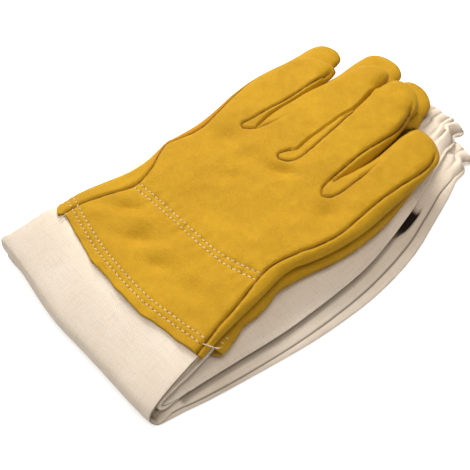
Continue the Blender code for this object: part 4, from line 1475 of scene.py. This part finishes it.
hide_yellow = leather("yellow_hide", *YELLOW)
hide_thumb = leather("thumb_hide", *THUMB_YELLOW)
cotton = canvas("unbleached_canvas")
cream_thread = thread_finish("cream_thread", *CREAM)
white_tape = thread_finish("elastic_tape", *WHITE)


# The two gloves

def settle(made, finish, body, material_slot, *nodes):
    """Gives a piece its finish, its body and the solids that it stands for."""
    made.data.materials.append(finish)
    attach(made, body)
    if nodes:
        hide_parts(*nodes)


def settle_sleeve(sleeve, side):
    """Gives the sleeve its canvas, bakes its placement into its points and hides the solids that it stands
    for.
    """
    sleeve.data.materials.append(cotton)
    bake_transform(sleeve)
    nodes = [side + part for part in ("_sleeve_upper", "_sleeve_fold", "_sleeve_under", "_cuff_casing")]
    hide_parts(*nodes)


def make_glove(side):
    """One whole glove: hand, thumb, stitching, sleeve and tapes."""
    glove = GLOVES[side]
    body = side + "_hand"
    hand, plan = make_hand(side)
    gussets = [side + "_fourchette_" + name for name in ("index_middle", "middle_ring", "ring_little")]
    settle(hand, hide_yellow, body, "leather", side + "_back_panel", side + "_palm_panel", *gussets)
    thumb_nodes = (side + "_thumb_back", side + "_thumb_front")
    settle(make_thumb(side), hide_thumb, side + "_thumb", "gusset_leather", *thumb_nodes)
    for kind, lines, faces in (("wrist", plan["wrist"], ("back",)), ("hem", plan["hems"], ("back", "palm"))):
        for letter, line in zip("ab", lines):
            row = sew(f"{side}_{kind}_stitches_{letter}", [(line, face) for face in faces], glove, plan)
            settle(row, cream_thread, body, "thread", f"{side}_{kind}_stitch_row_{letter}")
    if glove["up"] > 0:
        for name, points in THREAD_TAILS.items():
            settle(thread_tail(name, points), cream_thread, body, "thread")
    sleeve, stations = make_sleeve(side)
    settle_sleeve(sleeve, side)
    settle(make_wrist_elastic(side, plan), white_tape, body, "elastic", side + "_wrist_elastic")
    settle(make_arm_elastic(side, stations), white_tape, side + "_run", "elastic", side + "_arm_elastic")


for each_side in GLOVES:
    make_glove(each_side)


# Floor, light and camera, in metres, watts and degrees
FLOOR_SIZE = 6.0
FLOOR_GLOW = 0.55
FLOOR_GLOW_AWAY = (0.4, 1.3)
AMBIENT = 0.017
LAMPS = (
    ("back_softbox", (-0.76, 0.42, 0.95), (0.0, -0.04, 0.02), 0.7, 22.0),
    ("high_softbox", (0.42, -0.25, 1.25), (0.05, -0.05, 0.01), 0.7, 11.0),
    ("front_softbox", (-0.6, -0.9, 0.9), (0.0, -0.1, 0.02), 0.9, 2.0),
)
VIEW_AZIMUTH = 46.94
VIEW_ELEVATION = 50.38
VIEW_DISTANCE = 0.4828
VIEW_TARGET = (0.01463, -0.03183, 0.0135)
VIEW_LENS = 61.64


def make_floor():
    """A white floor that takes shadows, and looks whiter far away where a low view sees much of it."""
    bpy.ops.object.select_all(action="DESELECT")
    bpy.ops.mesh.primitive_plane_add(size=FLOOR_SIZE, location=(0, 0, 0))
    floor = bpy.context.object
    floor.name = "floor"
    finish, tree, shader = blank("white_floor")
    seen = node(tree, "ShaderNodeLightPath").outputs
    mirrored = math_node(tree, "MAXIMUM", seen["Is Glossy Ray"], seen["Is Transmission Ray"])
    seen_by = math_node(tree, "MAXIMUM", seen["Is Camera Ray"], mirrored)
    shader.inputs["Base Color"].default_value = (0.80, 0.80, 0.80, 1)
    shader.inputs["Roughness"].default_value = 0.9
    shader.inputs["Specular IOR Level"].default_value = 0.0
    shader.inputs["Emission Color"].default_value = (1, 1, 1, 1)
    away = node(tree, "ShaderNodeVectorMath", operation="LENGTH")
    feed(tree, node(tree, "ShaderNodeTexCoord").outputs["Object"], away.inputs[0])
    far = step(tree, away.outputs["Value"], *FLOOR_GLOW_AWAY)
    glow = plus(tree, times(tree, far, 1 - FLOOR_GLOW), FLOOR_GLOW)
    feed(tree, times(tree, seen_by, glow), shader.inputs["Emission Strength"])
    floor.data.materials.append(finish)


def make_sky():
    """A world that looks white and lights only a little."""
    world = bpy.data.worlds.new("studio")
    bpy.context.scene.world = world
    world.use_nodes = True
    tree = world.node_tree
    sky = tree.nodes["Background"]
    sky.inputs["Color"].default_value = (1, 1, 1, 1)
    seen = node(tree, "ShaderNodeLightPath").outputs["Is Camera Ray"]
    feed(tree, plus(tree, times(tree, seen, 1 - AMBIENT), AMBIENT), sky.inputs["Strength"])


def make_lamp(name, place, target, size, power):
    light = bpy.data.lights.new(name, "AREA")
    light.shape = "RECTANGLE"
    light.size = size
    light.size_y = size
    light.energy = power
    made = bpy.data.objects.new(name, light)
    bpy.context.scene.collection.objects.link(made)
    made.location = place
    made.rotation_euler = (Vector(target) - Vector(place)).to_track_quat("-Z", "Y").to_euler()


def make_camera():
    """The photograph's own view."""
    data = bpy.data.cameras.new("camera")
    camera = bpy.data.objects.new("camera", data)
    bpy.context.scene.collection.objects.link(camera)
    azimuth, elevation = math.radians(VIEW_AZIMUTH), math.radians(VIEW_ELEVATION)
    level = math.cos(elevation)
    back = Vector((math.sin(azimuth) * level, -math.cos(azimuth) * level, math.sin(elevation)))
    camera.location = Vector(VIEW_TARGET) + back * VIEW_DISTANCE
    camera.rotation_euler = back.to_track_quat("Z", "Y").to_euler()
    data.sensor_width = 36.0
    data.lens = VIEW_LENS
    data.clip_start = 0.01
    bpy.context.scene.camera = camera


make_floor()
make_sky()
for lamp in LAMPS:
    make_lamp(*lamp)
make_camera()
bpy.context.scene.view_settings.view_transform = "Standard"

bpy.context.view_layer.update()
